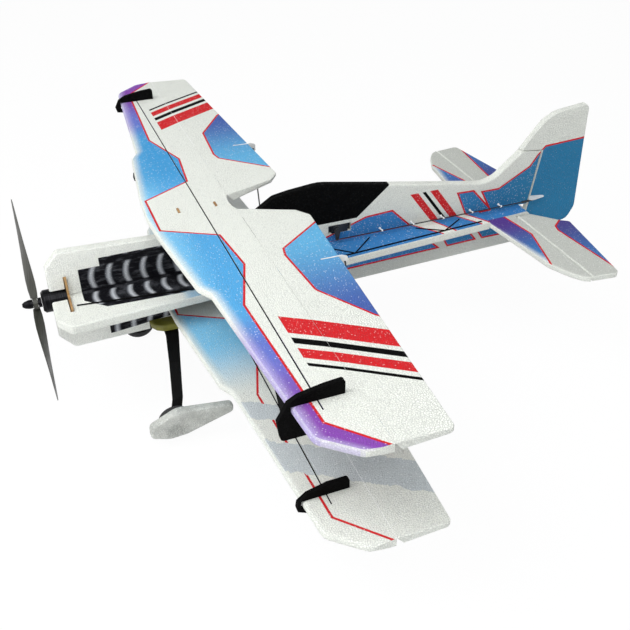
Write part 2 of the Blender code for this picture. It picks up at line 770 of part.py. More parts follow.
# Upper profile with canopy and fin
seam_rise = RUDDER_RAKE * (hinge_at(RUDDER_TOP_HEIGHT) - RUDDER_BALANCE)
seam_front = (RUDDER_BALANCE, RUDDER_TOP_HEIGHT + seam_rise)
motor_gap = CAN_RADIUS + MOTOR_CLEAR
fin_rear = [(hinge_at(RUDDER_TOP_HEIGHT) - GAP / 2, RUDDER_TOP_HEIGHT)]
fin_rear += [(hinge_at(TAIL_TOP) - GAP / 2, TAIL_TOP + GAP)]
upper_outline = [(NOSE_STATION, THRUST_HEIGHT + motor_gap)] + UPPER_NOSE + CANOPY + FIN_ROOT
upper_outline += [seam_front] + fin_rear
upper_outline += [(DECK_END + GAP, TAIL_TOP + GAP), (DECK_END + GAP, DECK_TOP + GAP)]
upper_outline += [(NOTCH_STATION, DECK_TOP + GAP), (NOTCH_STATION, THRUST_HEIGHT + motor_gap)]
upper_profile = plate("upper_profile", upper_outline, PLATE_THICK, "YZ", (0.0, 0.0, 0.0))


def upper_rim(y, z):
    """Weight of the upper profile's rim: round along its top and nose, square where it meets pieces."""
    if z < DECK_TOP + RIM_MARGIN or y > seam_front[0] - RIM_MARGIN:
        return 0.0
    beside_motor = NOSE_STATION + RIM_MARGIN < y < NOTCH_STATION + RIM_MARGIN
    if beside_motor and z < THRUST_HEIGHT + motor_gap + RIM_MARGIN:
        return 0.0
    return 1.0


def lower_rim(y, z):
    """Weight of the lower profile's rim: round along its nose and keel."""
    below_motor = z < THRUST_HEIGHT - motor_gap - RIM_MARGIN
    return 1.0 if below_motor and y < hinge_at(KEEL_END) - RIM_MARGIN else 0.0


soften(upper_profile, PLATE_SOFT, upper_rim)
mount_low = THRUST_HEIGHT - MOUNT_HALF_TALL - GAP
mount_high = THRUST_HEIGHT + MOUNT_HALF_TALL + GAP
cut_between(
    upper_profile,
    (-PLATE_THICK, MOUNT_FRONT - GAP - SLOT_LEAD, DECK_TOP - GAP),
    (PLATE_THICK, MOUNT_REAR + GAP, mount_high),
)
for station in CABANE_STATIONS:
    cut_between(
        upper_profile,
        (-PLATE_THICK, station - PLY / 2 - GAP, CABANE_SEAT - GAP),
        (PLATE_THICK, station + PLY / 2 + GAP, 0.0),
    )
servo_half = SERVO_WIDE / 2 + GAP
servo_front = RUDDER_SERVO_STATION - SERVO_SHAFT
servo_rear = servo_front + SERVO_LONG
cut_between(
    upper_profile,
    (-PLATE_THICK, servo_front - GAP, RUDDER_SERVO_HEIGHT - servo_half),
    (PLATE_THICK, servo_rear + GAP, RUDDER_SERVO_HEIGHT + servo_half),
)
cut_between(
    upper_profile,
    (SIDE - SERVO_EAR_DROP - GAP, servo_front - SERVO_EAR - GAP, RUDDER_SERVO_HEIGHT - servo_half),
    (PLATE_THICK, servo_rear + SERVO_EAR + GAP, RUDDER_SERVO_HEIGHT + servo_half),
)
finish(upper_profile, FOAM, 0.7)

# Lower profile
tail_low = TAIL_BOTTOM - GAP
lower_outline = [(NOSE_STATION, THRUST_HEIGHT - motor_gap), (NOTCH_STATION, THRUST_HEIGHT - motor_gap)]
lower_outline += [(NOTCH_STATION, DECK_BOTTOM - GAP), (DECK_END + GAP, DECK_BOTTOM - GAP)]
lower_outline += [(DECK_END + GAP, tail_low), (hinge_at(tail_low) - GAP / 2, tail_low)]
lower_outline += [(hinge_at(KEEL_END) - GAP / 2, KEEL_END)] + LOWER_NOSE[::-1]
lower_profile = plate("lower_profile", lower_outline, PLATE_THICK, "YZ", (0.0, 0.0, 0.0))
soften(lower_profile, PLATE_SOFT, lower_rim)
cut_between(
    lower_profile,
    (-PLATE_THICK, MOUNT_FRONT - GAP - SLOT_LEAD, mount_low),
    (PLATE_THICK, MOUNT_REAR + GAP, DECK_BOTTOM + GAP),
)
slot_half = WING_THICK / 2 + GAP
cut_between(
    lower_profile,
    (-PLATE_THICK, STAGGER - GAP, -WING_DROP - slot_half),
    (PLATE_THICK, HINGE_STATION + STAGGER + GAP, -WING_DROP + slot_half),
)
cut_between(
    lower_profile,
    (-PLATE_THICK, SADDLE_FRONT - GAP, SADDLE_TOP - 4 * SADDLE_THICK),
    (PLATE_THICK, SADDLE_REAR + GAP, SADDLE_TOP + GAP),
)
aileron_front = AILERON_SERVO_STATION - SERVO_SHAFT
aileron_rear = aileron_front + SERVO_LONG
aileron_face = -WING_DROP - WING_THICK / 2 - 2 * GAP - SERVO_TALL
cut_between(
    lower_profile,
    (-PLATE_THICK, aileron_front - GAP, aileron_face - SERVO_TALL),
    (PLATE_THICK, aileron_rear + GAP, -WING_DROP - WING_THICK / 2 - GAP / 2),
)
cut_between(
    lower_profile,
    (-PLATE_THICK, aileron_front - SERVO_EAR - GAP, aileron_face + SERVO_EAR_DROP - SERVO_EAR_THICK - GAP),
    (PLATE_THICK, aileron_rear + SERVO_EAR + GAP, aileron_face + SERVO_EAR_DROP + GAP),
)
cut_between(
    lower_profile,
    (-PLATE_THICK, BRACE_STATION - BRACE_THICK / 2 - GAP, -WING_DROP + WING_THICK / 2),
    (PLATE_THICK, BRACE_STATION + BRACE_THICK / 2 + GAP, BRACE_TOP + GAP),
)
finish(lower_profile, FOAM, 0.7)
root_brace = solid_box(
    "root_brace",
    (-BRACE_HALF, BRACE_STATION - BRACE_THICK / 2, -WING_DROP + WING_THICK / 2 + GAP),
    (BRACE_HALF, BRACE_STATION + BRACE_THICK / 2, BRACE_TOP),
)
finish(root_brace, WOOD, 0.6)

# Deck between the profiles
deck_outline = mirrored([
    (motor_gap, NOTCH_STATION), (motor_gap, NOSE_STATION), (DECK_NOSE_HALF, NOSE_STATION, DECK_NOSE_ROUND),
    (DECK_WIDE_HALF, DECK_WIDE_STATION, DECK_WIDE_ROUND), (DECK_END_HALF, DECK_END),
])
deck = plate("deck", deck_outline, PLATE_THICK, "XY", (0.0, 0.0, THRUST_HEIGHT))
soften(
    deck, PLATE_SOFT,
    lambda x, y: 1.0 if abs(x) > motor_gap + RIM_MARGIN and y < DECK_END - RIM_MARGIN else 0.0,
)
cut_between(
    deck,
    (-MOUNT_HALF_WIDE - GAP, MOUNT_FRONT - GAP - SLOT_LEAD, DECK_BOTTOM - PLY),
    (MOUNT_HALF_WIDE + GAP, MOUNT_REAR + GAP, DECK_TOP + PLY),
)
finish(deck, FOAM, 0.7)

# Ply cross that carries the motor
arm_x, arm_z = MOUNT_ARM_X, MOUNT_ARM_Z
mount_outline = [
    (MOUNT_HALF_WIDE, arm_z), (arm_x, arm_z), (arm_x, MOUNT_HALF_TALL), (-arm_x, MOUNT_HALF_TALL),
    (-arm_x, arm_z), (-MOUNT_HALF_WIDE, arm_z), (-MOUNT_HALF_WIDE, -arm_z), (-arm_x, -arm_z),
    (-arm_x, -MOUNT_HALF_TALL), (arm_x, -MOUNT_HALF_TALL), (arm_x, -arm_z), (MOUNT_HALF_WIDE, -arm_z),
]
mount_outline = [(x, z + THRUST_HEIGHT) for x, z in mount_outline]
mount_at = (0.0, MOUNT_FRONT + PLY / 2, THRUST_HEIGHT)
finish(plate("motor_mount", mount_outline, PLY, "XZ", mount_at), WOOD, 0.6)

# Cabanes: ply plates halved over the upper profile, tongues up through the wing
for label, station in zip(("front_cabane", "rear_cabane"), CABANE_STATIONS):
    shoulder = WING_BOTTOM - GAP
    straddle = SIDE + GAP
    cabane_outline = mirrored([
        (CABANE_TONGUE_HALF, CABANE_TONGUE_TOP), (CABANE_TONGUE_HALF, shoulder), (CABANE_HALF, shoulder),
        (CABANE_FOOT_HALF, CABANE_FOOT), (straddle, CABANE_FOOT), (straddle, CABANE_SEAT),
    ])
    finish(plate(label, cabane_outline, PLY, "XZ", (0.0, station, 0.0)), WOOD, 0.6)
    cut_between(
        upper_wing,
        (-CABANE_TONGUE_HALF - GAP, station - PLY / 2 - GAP, -WING_THICK),
        (CABANE_TONGUE_HALF + GAP, station + PLY / 2 + GAP, WING_THICK),
    )

# Strut clips
for label, side, low, gusset in (
    ("left", 1.0, LEFT_CLIP_LOW, True),
    ("right", -1.0, RIGHT_CLIP_LOW, False),
):
    build_clip("upper_clip_" + label, side, 0.0, UPPER_CLIP_TOP, low, UPPER_CLIP_SLOT, gusset)
    build_clip(
        "lower_clip_" + label, side, -WING_DROP, LOWER_CLIP_TOP, LOWER_CLIP_LOW, LOWER_CLIP_SLOT, False
    )

# Carbon lattice along each edge of the deck
for label, side in (("left", 1.0), ("right", -1.0)):
    level = DECK_TOP + GAP + LATTICE_THICK / 2
    lattice_at = (0.0, 0.0, level)
    edge = [LATTICE_NOSE]
    edge += [(deck_half(end) - LATTICE_INSET, end) for end in (LATTICE_START, LATTICE_STOP)]
    rail = [(side * x, station) for x, station in edge]
    rail += [(side * (x - LATTICE_WIDE), station) for x, station in reversed(edge)]
    lattice = plate("deck_lattice_" + label, rail, LATTICE_THICK, "XY", lattice_at)
    for index, apex in enumerate(LATTICE_APEXES):
        tip = deck_half(apex) - LATTICE_INSET - LATTICE_WIDE / 2
        for way in (-1.0, 1.0):
            foot = apex + way * LATTICE_REACH
            along = Vector((LATTICE_INNER - tip, foot - apex)).normalized()
            across = Vector((-along.y, along.x)) * LATTICE_WIDE / 2
            start = Vector((tip, apex))
            stop = Vector((LATTICE_INNER, foot))
            corners = (start - across, stop - across, stop + across, start + across)
            strip = [(side * corner.x, corner.y) for corner in corners]
            tool = plate(f"{lattice.name}_brace_{index}", strip, BRACING_THICK, "XY", lattice_at)
            combine(lattice, hide(tool), "UNION")
    finish(lattice, CARBON, 0.35)

# Tailplane with the bore of the elevator joiner
hinge_face = ELEVATOR_HINGE - GAP / 2
bay = TAIL_CORE_HALF + JOINER_BAY
bay_face = ELEVATOR_HINGE - JOINER_RADIUS - 2 * GAP
tail_outline = [(DECK_END_HALF, DECK_END + GAP)] + TAIL_EDGE + [(TAIL_TIP, hinge_face), (bay, hinge_face)]
tail_outline += [(bay, bay_face), (TAIL_CORE_HALF, bay_face), (TAIL_CORE_HALF, TAIL_CORE_END)]
tailplane = plate("tailplane", mirrored(tail_outline), TAIL_THICK, "XY", (0.0, 0.0, THRUST_HEIGHT))
soften(
    tailplane, PLATE_SOFT,
    lambda x, y: 1.0 if abs(x) > DECK_END_HALF + RIM_MARGIN and y < hinge_face - 2 * RIM_MARGIN else 0.0,
)
joint = (ELEVATOR_HINGE, THRUST_HEIGHT)
reach = TAIL_CORE_HALF + JOINER_BAY + JOINER_RADIUS
bore(tailplane, JOINER_RADIUS + GAP, (-reach, *joint), (reach, *joint), "X")
finish(tailplane, FOAM, 0.7)

# Elevator halves on one wire joiner
joiner_x = TAIL_CORE_HALF + JOINER_SET
joiner_path = [
    (joiner_x, ELEVATOR_HINGE + JOINER_REACH, THRUST_HEIGHT), (joiner_x, *joint), (-joiner_x, *joint),
    (-joiner_x, ELEVATOR_HINGE + JOINER_REACH, THRUST_HEIGHT),
]
hinge_point = (0.0, ELEVATOR_HINGE, THRUST_HEIGHT)
joiner = rod("elevator_joiner", joiner_path, JOINER_RADIUS, hinge_point)
finish(smooth(joiner), STEEL, 0.3, 1.0)
tail_setback = TAIL_THICK / 2 * math.tan(HINGE_BEVEL)
elevators = {}
for label, side in (("left", 1.0), ("right", -1.0)):
    inner = TAIL_CORE_HALF + 4 * GAP
    front = ELEVATOR_HINGE + GAP / 2
    outline = [(inner, front), (inner, TAIL_CORE_END)] + ELEVATOR_REAR + [(TAIL_TIP, front)]
    outline = [(side * point[0],) + tuple(point[1:]) for point in outline]
    item = plate("elevator_" + label, outline, TAIL_THICK, "XY", hinge_point)
    body = bmesh.new()
    body.from_mesh(item.data)
    geometry = body.verts[:] + body.edges[:] + body.faces[:]
    bmesh.ops.bisect_plane(body, geom=geometry, plane_co=(0, 0, 0), plane_no=(0, 0, 1), dist=MERGE)
    for vertex in body.verts:
        if vertex.co.y < GAP and abs(vertex.co.z) > GAP:
            vertex.co.y += tail_setback
    body.to_mesh(item.data)
    body.free()
    rim_height = TAIL_THICK / 2 - TOUCH
    mesh = item.data
    weights = mesh.attributes.new("bevel_weight_edge", "FLOAT", "EDGE")
    for edge in mesh.edges:
        ends = [mesh.vertices[index].co for index in edge.vertices]
        on_rim = all(abs(end.z) > rim_height for end in ends) and ends[0].z * ends[1].z > 0
        if on_rim and (ends[0].y + ends[1].y) / 2 > tail_setback + SOFT_START:
            weights.data[edge.index].value = 1.0
    bevel = item.modifiers.new("rim", "BEVEL")
    bevel.limit_method = "WEIGHT"
    bevel.width = SURFACE_SOFT
    bevel.segments = 2
    bevel.use_clamp_overlap = False
    sleeve = [(side * joiner_x, ELEVATOR_HINGE + JOINER_REACH + GAP, THRUST_HEIGHT)]
    sleeve += [(side * joiner_x, *joint), (side * (TAIL_CORE_HALF - JOINER_SET), *joint)]
    channel = rod(item.name + "_channel", sleeve, JOINER_RADIUS + GAP, hinge_point)
    combine(item, hide(channel), "DIFFERENCE")
    elevators[label] = finish(item, FOAM, 0.7)

# Rudder with its balance ahead of the hinge, bevelled on both sides
tilt = math.atan(RUDDER_RAKE)
rudder_at = (0.0, RUDDER_FOOT, THRUST_HEIGHT)
rudder_top = (hinge_at(RUDDER_TOP_HEIGHT + SEAM) + GAP / 2, RUDDER_TOP_HEIGHT + SEAM)
rudder_low = (hinge_at(RUDDER_BOTTOM) + GAP / 2, RUDDER_BOTTOM)
rudder_outline = [rudder_low] + RUDDER_REAR + [(seam_front[0], seam_front[1] + SEAM), rudder_top]
rudder = plate("rudder", rudder_outline, RUDDER_THICK, "YZ", rudder_at)
rudder_setback = RUDDER_THICK / 2 * math.tan(HINGE_BEVEL)
body = bmesh.new()
body.from_mesh(rudder.data)
geometry = body.verts[:] + body.edges[:] + body.faces[:]
bmesh.ops.bisect_plane(body, geom=geometry, plane_co=(0, 0, 0), plane_no=(0, 0, 1), dist=MERGE)
for vertex in body.verts:
    ahead = vertex.co.x - RUDDER_RAKE * vertex.co.y
    if abs(ahead - GAP / 2) < TOUCH and abs(vertex.co.z) > GAP:
        vertex.co.x += rudder_setback
weights = []
for edge in body.edges:
    ends = [vertex.co for vertex in edge.verts]
    middle = (ends[0] + ends[1]) / 2
    ahead = middle.x - RUDDER_RAKE * middle.y
    on_rim = abs(middle.z) > RUDDER_THICK / 2 - TOUCH and abs(ends[0].z - ends[1].z) < TOUCH
    weights.append(1.0 if on_rim and ahead > rudder_setback + 2 * SOFT_START else 0.0)
body.to_mesh(rudder.data)
body.free()
layer = rudder.data.attributes.new("bevel_weight_edge", "FLOAT", "EDGE")
for index, weight in enumerate(weights):
    layer.data[index].value = weight
bevel = rudder.modifiers.new("rim", "BEVEL")
bevel.limit_method = "WEIGHT"
bevel.width = SURFACE_SOFT
bevel.segments = 2
bevel.use_clamp_overlap = False
finish(rudder, FOAM, 0.7)

# Rudder servo, arm, pushrod and horn on the port side
servo_at = (SIDE, RUDDER_SERVO_STATION, RUDDER_SERVO_HEIGHT)
build_servo("rudder_servo", servo_at, ROTATIONS["YZ"])
build_arm("rudder_arm", (RUDDER_ARM,), servo_at, (0.0, math.pi / 2, 0.0))
blade_x = SIDE + SERVO_BOSS + GAP + ARM_TALL
rod_x = blade_x + GAP + ROD_RADIUS
rod_z = RUDDER_SERVO_HEIGHT - RUDDER_ARM
horn_y = hinge_at(rod_z)
push = [(rod_x, RUDDER_SERVO_STATION - ROD_PAST, rod_z), (rod_x, horn_y + ROD_PAST, rod_z)]
rudder_pushrod = rod("rudder_pushrod", push, ROD_RADIUS, (rod_x, RUDDER_SERVO_STATION, rod_z))
clevis = solid_box(
    "rudder_pushrod_clevis",
    (rod_x - CLEVIS_HALF_WIDE, horn_y - HORN_EYE - CLEVIS_LONG, rod_z - CLEVIS_HALF_TALL),
    (rod_x + CLEVIS_HALF_WIDE, horn_y - HORN_EYE, rod_z + CLEVIS_HALF_TALL),
)
combine(rudder_pushrod, hide(clevis), "UNION")
finish(rudder_pushrod, BLACK, 0.4)
horn_z = rod_z + ROD_RADIUS + RUDDER_HORN_CLEAR + HORN_THICK / 2
horn_face = RUDDER_THICK / 2 + GAP
horn_outline = [
    (horn_face, horn_y + RUDDER_HORN_SET), (RUDDER_LEVER - HORN_EYE, horn_y - HORN_EYE, HORN_ROUND),
    (RUDDER_LEVER + HORN_EYE, horn_y - HORN_EYE, HORN_ROUND),
    (RUDDER_LEVER + HORN_EYE, horn_y + HORN_EYE, HORN_ROUND),
    (horn_face + HORN_EYE, horn_y + RUDDER_HORN_END), (horn_face, horn_y + RUDDER_HORN_END),
]
horn = plate("rudder_horn", horn_outline, HORN_THICK, "XY", (RUDDER_LEVER, horn_y, horn_z))
horn.rotation_euler = (-tilt, 0.0, 0.0)
finish(horn, WHITE, 0.45)

# Elevator servo, arm, pushrod and horn on the starboard side
servo_z = DECK_TOP + GAP + SERVO_WIDE / 2
servo_at = (ELEVATOR_SERVO_FACE, ELEVATOR_SERVO_STATION, servo_z)
build_servo("elevator_servo", servo_at, (-math.pi / 2, 0.0, math.pi / 2))
build_arm("elevator_arm", (ELEVATOR_ARM,), servo_at, (0.0, -math.pi / 2, 0.0))
blade_x = ELEVATOR_SERVO_FACE - SERVO_BOSS - GAP - ARM_TALL
rod_x = blade_x - GAP - ROD_RADIUS
horn_x = rod_x - GAP - ROD_RADIUS - HORN_THICK / 2
pin_z = THRUST_HEIGHT + ELEVATOR_LEVER
push = [
    (rod_x, ELEVATOR_SERVO_STATION - ROD_PAST, servo_z + ELEVATOR_ARM),
    (rod_x, ELEVATOR_HINGE + ROD_PAST, pin_z),
]
elevator_pushrod = rod("elevator_pushrod", push, ROD_RADIUS, (rod_x, ELEVATOR_SERVO_STATION, servo_z))
finish(elevator_pushrod, BLACK, 0.4)
base_y = ELEVATOR_HINGE + ELEVATOR_HORN_SET
root_z = THRUST_HEIGHT - ELEVATOR_HORN_ROOT
horn_outline = [
    (base_y, root_z), (base_y, TAIL_TOP + GAP), (ELEVATOR_HINGE - HORN_EYE, pin_z - HORN_EYE, HORN_ROUND),
    (ELEVATOR_HINGE - HORN_EYE, pin_z + HORN_EYE, HORN_ROUND),
    (ELEVATOR_HINGE + HORN_EYE, pin_z + HORN_EYE, HORN_ROUND),
    (base_y + HORN_FOOT, TAIL_TOP + GAP), (base_y + HORN_FOOT, root_z),
]
horn = plate("elevator_horn", horn_outline, HORN_THICK, "YZ", (horn_x, ELEVATOR_HINGE, THRUST_HEIGHT))
finish(horn, WHITE, 0.45)
half = HORN_THICK / 2 + GAP
cut_between(
    elevators["right"],
    (horn_x - half, base_y - GAP, root_z - GAP),
    (horn_x + half, base_y + HORN_FOOT + GAP, TAIL_TOP + TAIL_THICK),
)

# Aileron servo under the lower wing, its double arm and two pushrods
servo_at = (0.0, AILERON_SERVO_STATION, aileron_face)
build_servo("aileron_servo", servo_at, (math.pi, 0.0, 0.0))
build_arm("aileron_arm", (AILERON_ARM, -AILERON_ARM), servo_at, (math.pi, 0.0, 0.0))
rod_z = aileron_face - SERVO_BOSS - GAP - ARM_TALL - GAP - ROD_RADIUS
axis_y = HINGE_STATION + STAGGER
pin_z = -WING_DROP + WING_THICK / 2 - AILERON_LEVER
for label, side in (("left", 1.0), ("right", -1.0)):
    near = side * AILERON_ARM
    far = side * (DRIVE_HORN_X - HORN_THICK / 2 - GAP - ROD_RADIUS)
    push = [
        (near, AILERON_SERVO_STATION - ROD_PAST, rod_z),
        (near, AILERON_SERVO_STATION + ROD_STRAIGHT, rod_z),
        (far, axis_y - ROD_STRAIGHT, pin_z), (far, axis_y + ROD_PAST, pin_z),
    ]
    item = rod("aileron_pushrod_" + label, push, ROD_RADIUS, (near, AILERON_SERVO_STATION, rod_z))
    finish(item, BLACK, 0.4)

# Landing gear: saddle, carbon legs with axles, wheels and pants
saddle_half = [
    (SADDLE_HALF, SADDLE_FRONT, SADDLE_CORNER), (SADDLE_HALF, SADDLE_REAR, SADDLE_CORNER),
]
saddle_at = (0.0, (SADDLE_FRONT + SADDLE_REAR) / 2, SADDLE_TOP - SADDLE_THICK / 2)
saddle = plate("gear_saddle", mirrored(saddle_half), SADDLE_THICK, "XY", saddle_at)
soften(saddle, PLATE_SOFT, lambda x, y: 1.0)
finish(saddle, OLIVE, 0.6)
path = [(-point[0],) + point[1:] for point in reversed(LEG_PATH)] + LEG_PATH
rings = []
for index, (x, z, station, wide) in enumerate(path):
    before = path[max(index - 1, 0)]
    after = path[min(index + 1, len(path) - 1)]
    along = Vector((after[0] - before[0], after[1] - before[1])).normalized()
    up = Vector((-along.y, along.x)) * LEG_THICK / 2
    rings.append([
        (x + up.x, station - wide / 2, z + up.y), (x + up.x, station + wide / 2, z + up.y),
        (x - up.x, station + wide / 2, z - up.y), (x - up.x, station - wide / 2, z - up.y),
    ])
legs = loft("gear_legs", rings, (0.0, 0.0, 0.0))
axle_start = LEG_PATH[-1][0] - LEG_THICK / 2 - AXLE_ROOT
for side in (1.0, -1.0):
    axle_at = (side * (axle_start + AXLE_END) / 2, WHEEL_STATION, WHEEL_HEIGHT)
    axle = cylinder(
        f"gear_axle_{side:+.0f}", AXLE_RADIUS, AXLE_END - axle_start, axle_at, (0.0, math.pi / 2, 0.0)
    )
    combine(legs, hide(axle), "UNION")
finish(legs, CARBON, 0.35)

half = WHEEL_WIDE / 2
wheel_profile = [
    (WHEEL_BORE, half), (WHEEL_HUB, half), (WHEEL_HUB + TYRE_STEP, half - WHEEL_DISH),
    (WHEEL_RIM, half - WHEEL_DISH), (WHEEL_RIM + TYRE_STEP, half - TYRE_INSET),
    (WHEEL_RADIUS - TYRE_SHOULDER, half - TYRE_INSET), (WHEEL_RADIUS - TYRE_STEP, half - WHEEL_DISH),
    (WHEEL_RADIUS, 0.0),
]
wheel_profile += [(radius, -height) for radius, height in wheel_profile[-2::-1]]
for label, side in (("left", 1.0), ("right", -1.0)):
    wheel_at = (side * WHEEL_X, WHEEL_STATION, WHEEL_HEIGHT)
    wheel = turned("wheel_" + label, wheel_profile, wheel_at, (0.0, math.pi / 2, 0.0), True)
    finish(smooth(wheel), BLACK, 0.8)
    pant_at = (side * (PANT_INNER + PANT_THICK / 2), WHEEL_STATION, WHEEL_HEIGHT)
    pant = plate("wheel_pant_" + label, PANT_OUTLINE, PANT_THICK, "YZ", pant_at)
    soften(pant, PANT_SOFT, lambda y, z: 1.0, 3)
    hole = (WHEEL_STATION, WHEEL_HEIGHT)
    mouth = (side * (PANT_INNER - PANT_THICK), *hole)
    bore(pant, AXLE_RADIUS + GAP, mouth, (side * (AXLE_END + GAP), *hole), "X")
    finish(pant, FOAM, 0.7)

# Motor, adapter, propeller and nut along the thrust line
forward = (math.pi / 2, 0.0, 0.0)
can_at = (0.0, CAN_REAR, THRUST_HEIGHT)
inside = CAN_RADIUS - CAN_WALL
can_profile = [
    (0.0, CAN_LONG), (CAN_RADIUS - CAN_CHAMFER, CAN_LONG), (CAN_RADIUS, CAN_LONG - CAN_CHAMFER),
    (CAN_RADIUS, 0.0), (inside, 0.0), (inside, CAN_LONG - CAN_FACE),
    (SHAFT_RADIUS, CAN_LONG - CAN_FACE), (SHAFT_RADIUS, 0.0), (0.0, 0.0),
]
finish(smooth(turned("motor_can", can_profile, can_at, forward, False)), STEEL, 0.3, 1.0)
shaft_hole = SHAFT_RADIUS + BORE_CLEAR
base_profile = [
    (shaft_hole, CAN_LONG - CAN_FACE - GAP), (STATOR_RADIUS, CAN_LONG - CAN_FACE - GAP),
    (STATOR_RADIUS, -GAP), (BASE_RADIUS, -GAP), (BASE_RADIUS, -GAP - BASE_LONG),
    (shaft_hole, -GAP - BASE_LONG),
]
finish(smooth(turned("motor_base", base_profile, can_at, forward, True)), BLACK, 0.4, 0.6)
stud_hole = STUD_RADIUS + BORE_CLEAR
adapter_at = (0.0, CAN_FRONT - GAP, THRUST_HEIGHT)
stud_end = COLLAR_LONG + STUD_LONG
adapter_profile = [
    (0.0, stud_end), (STUD_RADIUS - STUD_CHAMFER, stud_end), (STUD_RADIUS, stud_end - STUD_CHAMFER),
    (STUD_RADIUS, COLLAR_LONG), (COLLAR_RADIUS, COLLAR_LONG),
    (COLLAR_RADIUS, 0.0), (0.0, 0.0),
]
finish(smooth(turned("prop_adapter", adapter_profile, adapter_at, forward, False, 24)), STEEL, 0.3, 1.0)
nut_at = (0.0, HUB_FRONT - GAP, THRUST_HEIGHT)
nut_depth = STUD_LONG - HUB_LONG
nut_profile = [
    (0.0, NUT_LONG), (NUT_TIP_RADIUS, NUT_LONG), (NUT_NECK_RADIUS, NUT_LONG - NUT_NOSE),
    (NUT_RADIUS, NUT_BASE), (NUT_RADIUS, 0.0), (stud_hole, 0.0), (stud_hole, nut_depth), (0.0, nut_depth),
]
finish(smooth(turned("prop_nut", nut_profile, nut_at, forward, False, 24)), BLACK, 0.35, 0.6)

hub_middle = (0.0, HUB_FRONT + HUB_LONG / 2, THRUST_HEIGHT)
propeller = cylinder("propeller", HUB_RADIUS, HUB_LONG, hub_middle, forward, 24)
section = [
    (0.55, 0.0), (0.42, 0.42), (0.22, 0.62), (-0.02, 0.60), (-0.26, 0.36), (-0.45, 0.05),
    (-0.45, -0.05), (-0.2, -0.16), (0.1, -0.22), (0.40, -0.22),
]
for index in range(2):
    rings = []
    for share, chord in BLADE_CHORDS:
        reach = share * PROP_RADIUS
        pitch = math.atan2(PROP_PITCH, 2 * math.pi * max(reach, PROP_PITCH_ROOT))
        thick = BLADE_ROOT_THICK + (BLADE_TIP_THICK - BLADE_ROOT_THICK) * share ** 0.6
        lead = Vector((-math.cos(pitch), -math.sin(pitch), 0.0))
        rise = Vector((math.sin(pitch), -math.cos(pitch), 0.0))
        centre = Vector((0.0, 0.0, reach))
        rings.append([centre + lead * chord * along + rise * thick * over for along, over in section])
    blade = loft(f"propeller_blade_{index}", rings, hub_middle, (0.0, PROP_TURN + index * math.pi, 0.0))
    combine(propeller, hide(blade), "UNION")
bore_ends = [(0.0, station, THRUST_HEIGHT) for station in (HUB_FRONT - HUB_LONG, COLLAR_FRONT + HUB_LONG)]
bore(propeller, stud_hole, *bore_ends, "Y")
finish(propeller, (0.075, 0.075, 0.06, 1.0), 0.4)

# Battery, speed controller and receiver against the starboard side of the profiles
for label, size, front, low, colour in (
    ("battery", BATTERY, BATTERY_FRONT, DECK_BOTTOM - GAP - BATTERY[2], (0.02, 0.05, 0.25, 1.0)),
    ("speed_controller", CONTROLLER, CONTROLLER_FRONT, DECK_TOP + GAP, (0.05, 0.05, 0.06, 1.0)),
    ("receiver", RECEIVER, RECEIVER_FRONT, DECK_TOP + GAP, (0.10, 0.10, 0.11, 1.0)),
):
    item = solid_box(
        label, (-SIDE - GAP - size[0], front, low), (-SIDE - GAP, front + size[1], low + size[2]), CASE_SOFT
    )
    finish(item, colour, 0.5)
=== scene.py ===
import math

import bmesh
import bpy
from mathutils import Matrix, Vector


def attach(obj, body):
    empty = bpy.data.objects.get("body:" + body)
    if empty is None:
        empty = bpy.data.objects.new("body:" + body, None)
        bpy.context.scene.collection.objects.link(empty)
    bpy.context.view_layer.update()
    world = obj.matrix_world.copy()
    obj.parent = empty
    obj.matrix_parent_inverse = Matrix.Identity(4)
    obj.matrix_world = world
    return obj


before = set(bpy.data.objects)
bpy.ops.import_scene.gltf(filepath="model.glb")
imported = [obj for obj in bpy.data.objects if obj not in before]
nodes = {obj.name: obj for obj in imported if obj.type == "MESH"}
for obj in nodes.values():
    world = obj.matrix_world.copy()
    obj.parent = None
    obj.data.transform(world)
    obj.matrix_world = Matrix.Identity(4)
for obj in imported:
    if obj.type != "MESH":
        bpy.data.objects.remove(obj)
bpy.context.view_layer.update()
scene = bpy.context.scene

# The drawing's own axes in millimetres: aft of the upper leading edge and up from the upper wing's middle
AFT = 236.55
UP = 247.0
AXLE_AFT, AXLE_UP = -14.0, -224.5
ROD_X, ROD_UP = 13.15, -72.0

# Foam
WHITE = (0.82, 0.84, 0.775)
SHADED_WHITE = (0.765, 0.78, 0.72)
# Painted shade: the tail's foam white made greyer as the light falls off aft
TAIL_SHADED_WHITE = (0.60, 0.615, 0.565)
# Painted light: the side profiles whiter at the nose, fading aft to the side white
NOSE_LIT_WHITE = (0.92, 0.935, 0.875)
SIDE_WHITE = (0.80, 0.82, 0.755)
SPECK = (0.90, 0.92, 0.90)
SEAM = (0.16, 0.18, 0.20)
# Painted shade: grey laid along the aft keel, under the deck
UNDERDECK_SHADE = (0.36, 0.37, 0.34)
SOIL = (0.16, 0.16, 0.15)

# Inks
BLUE = (0.09, 0.40, 0.76)
SKY = (0.24, 0.62, 0.90)
DEEP = (0.04, 0.22, 0.54)
FAR_BLUE = (0.045, 0.32, 0.66)
PATCH_INNER = (0.13, 0.46, 0.76)
PATCH_OUTER = (0.07, 0.13, 0.42)
DECK_HAZE = (0.30, 0.52, 0.70)
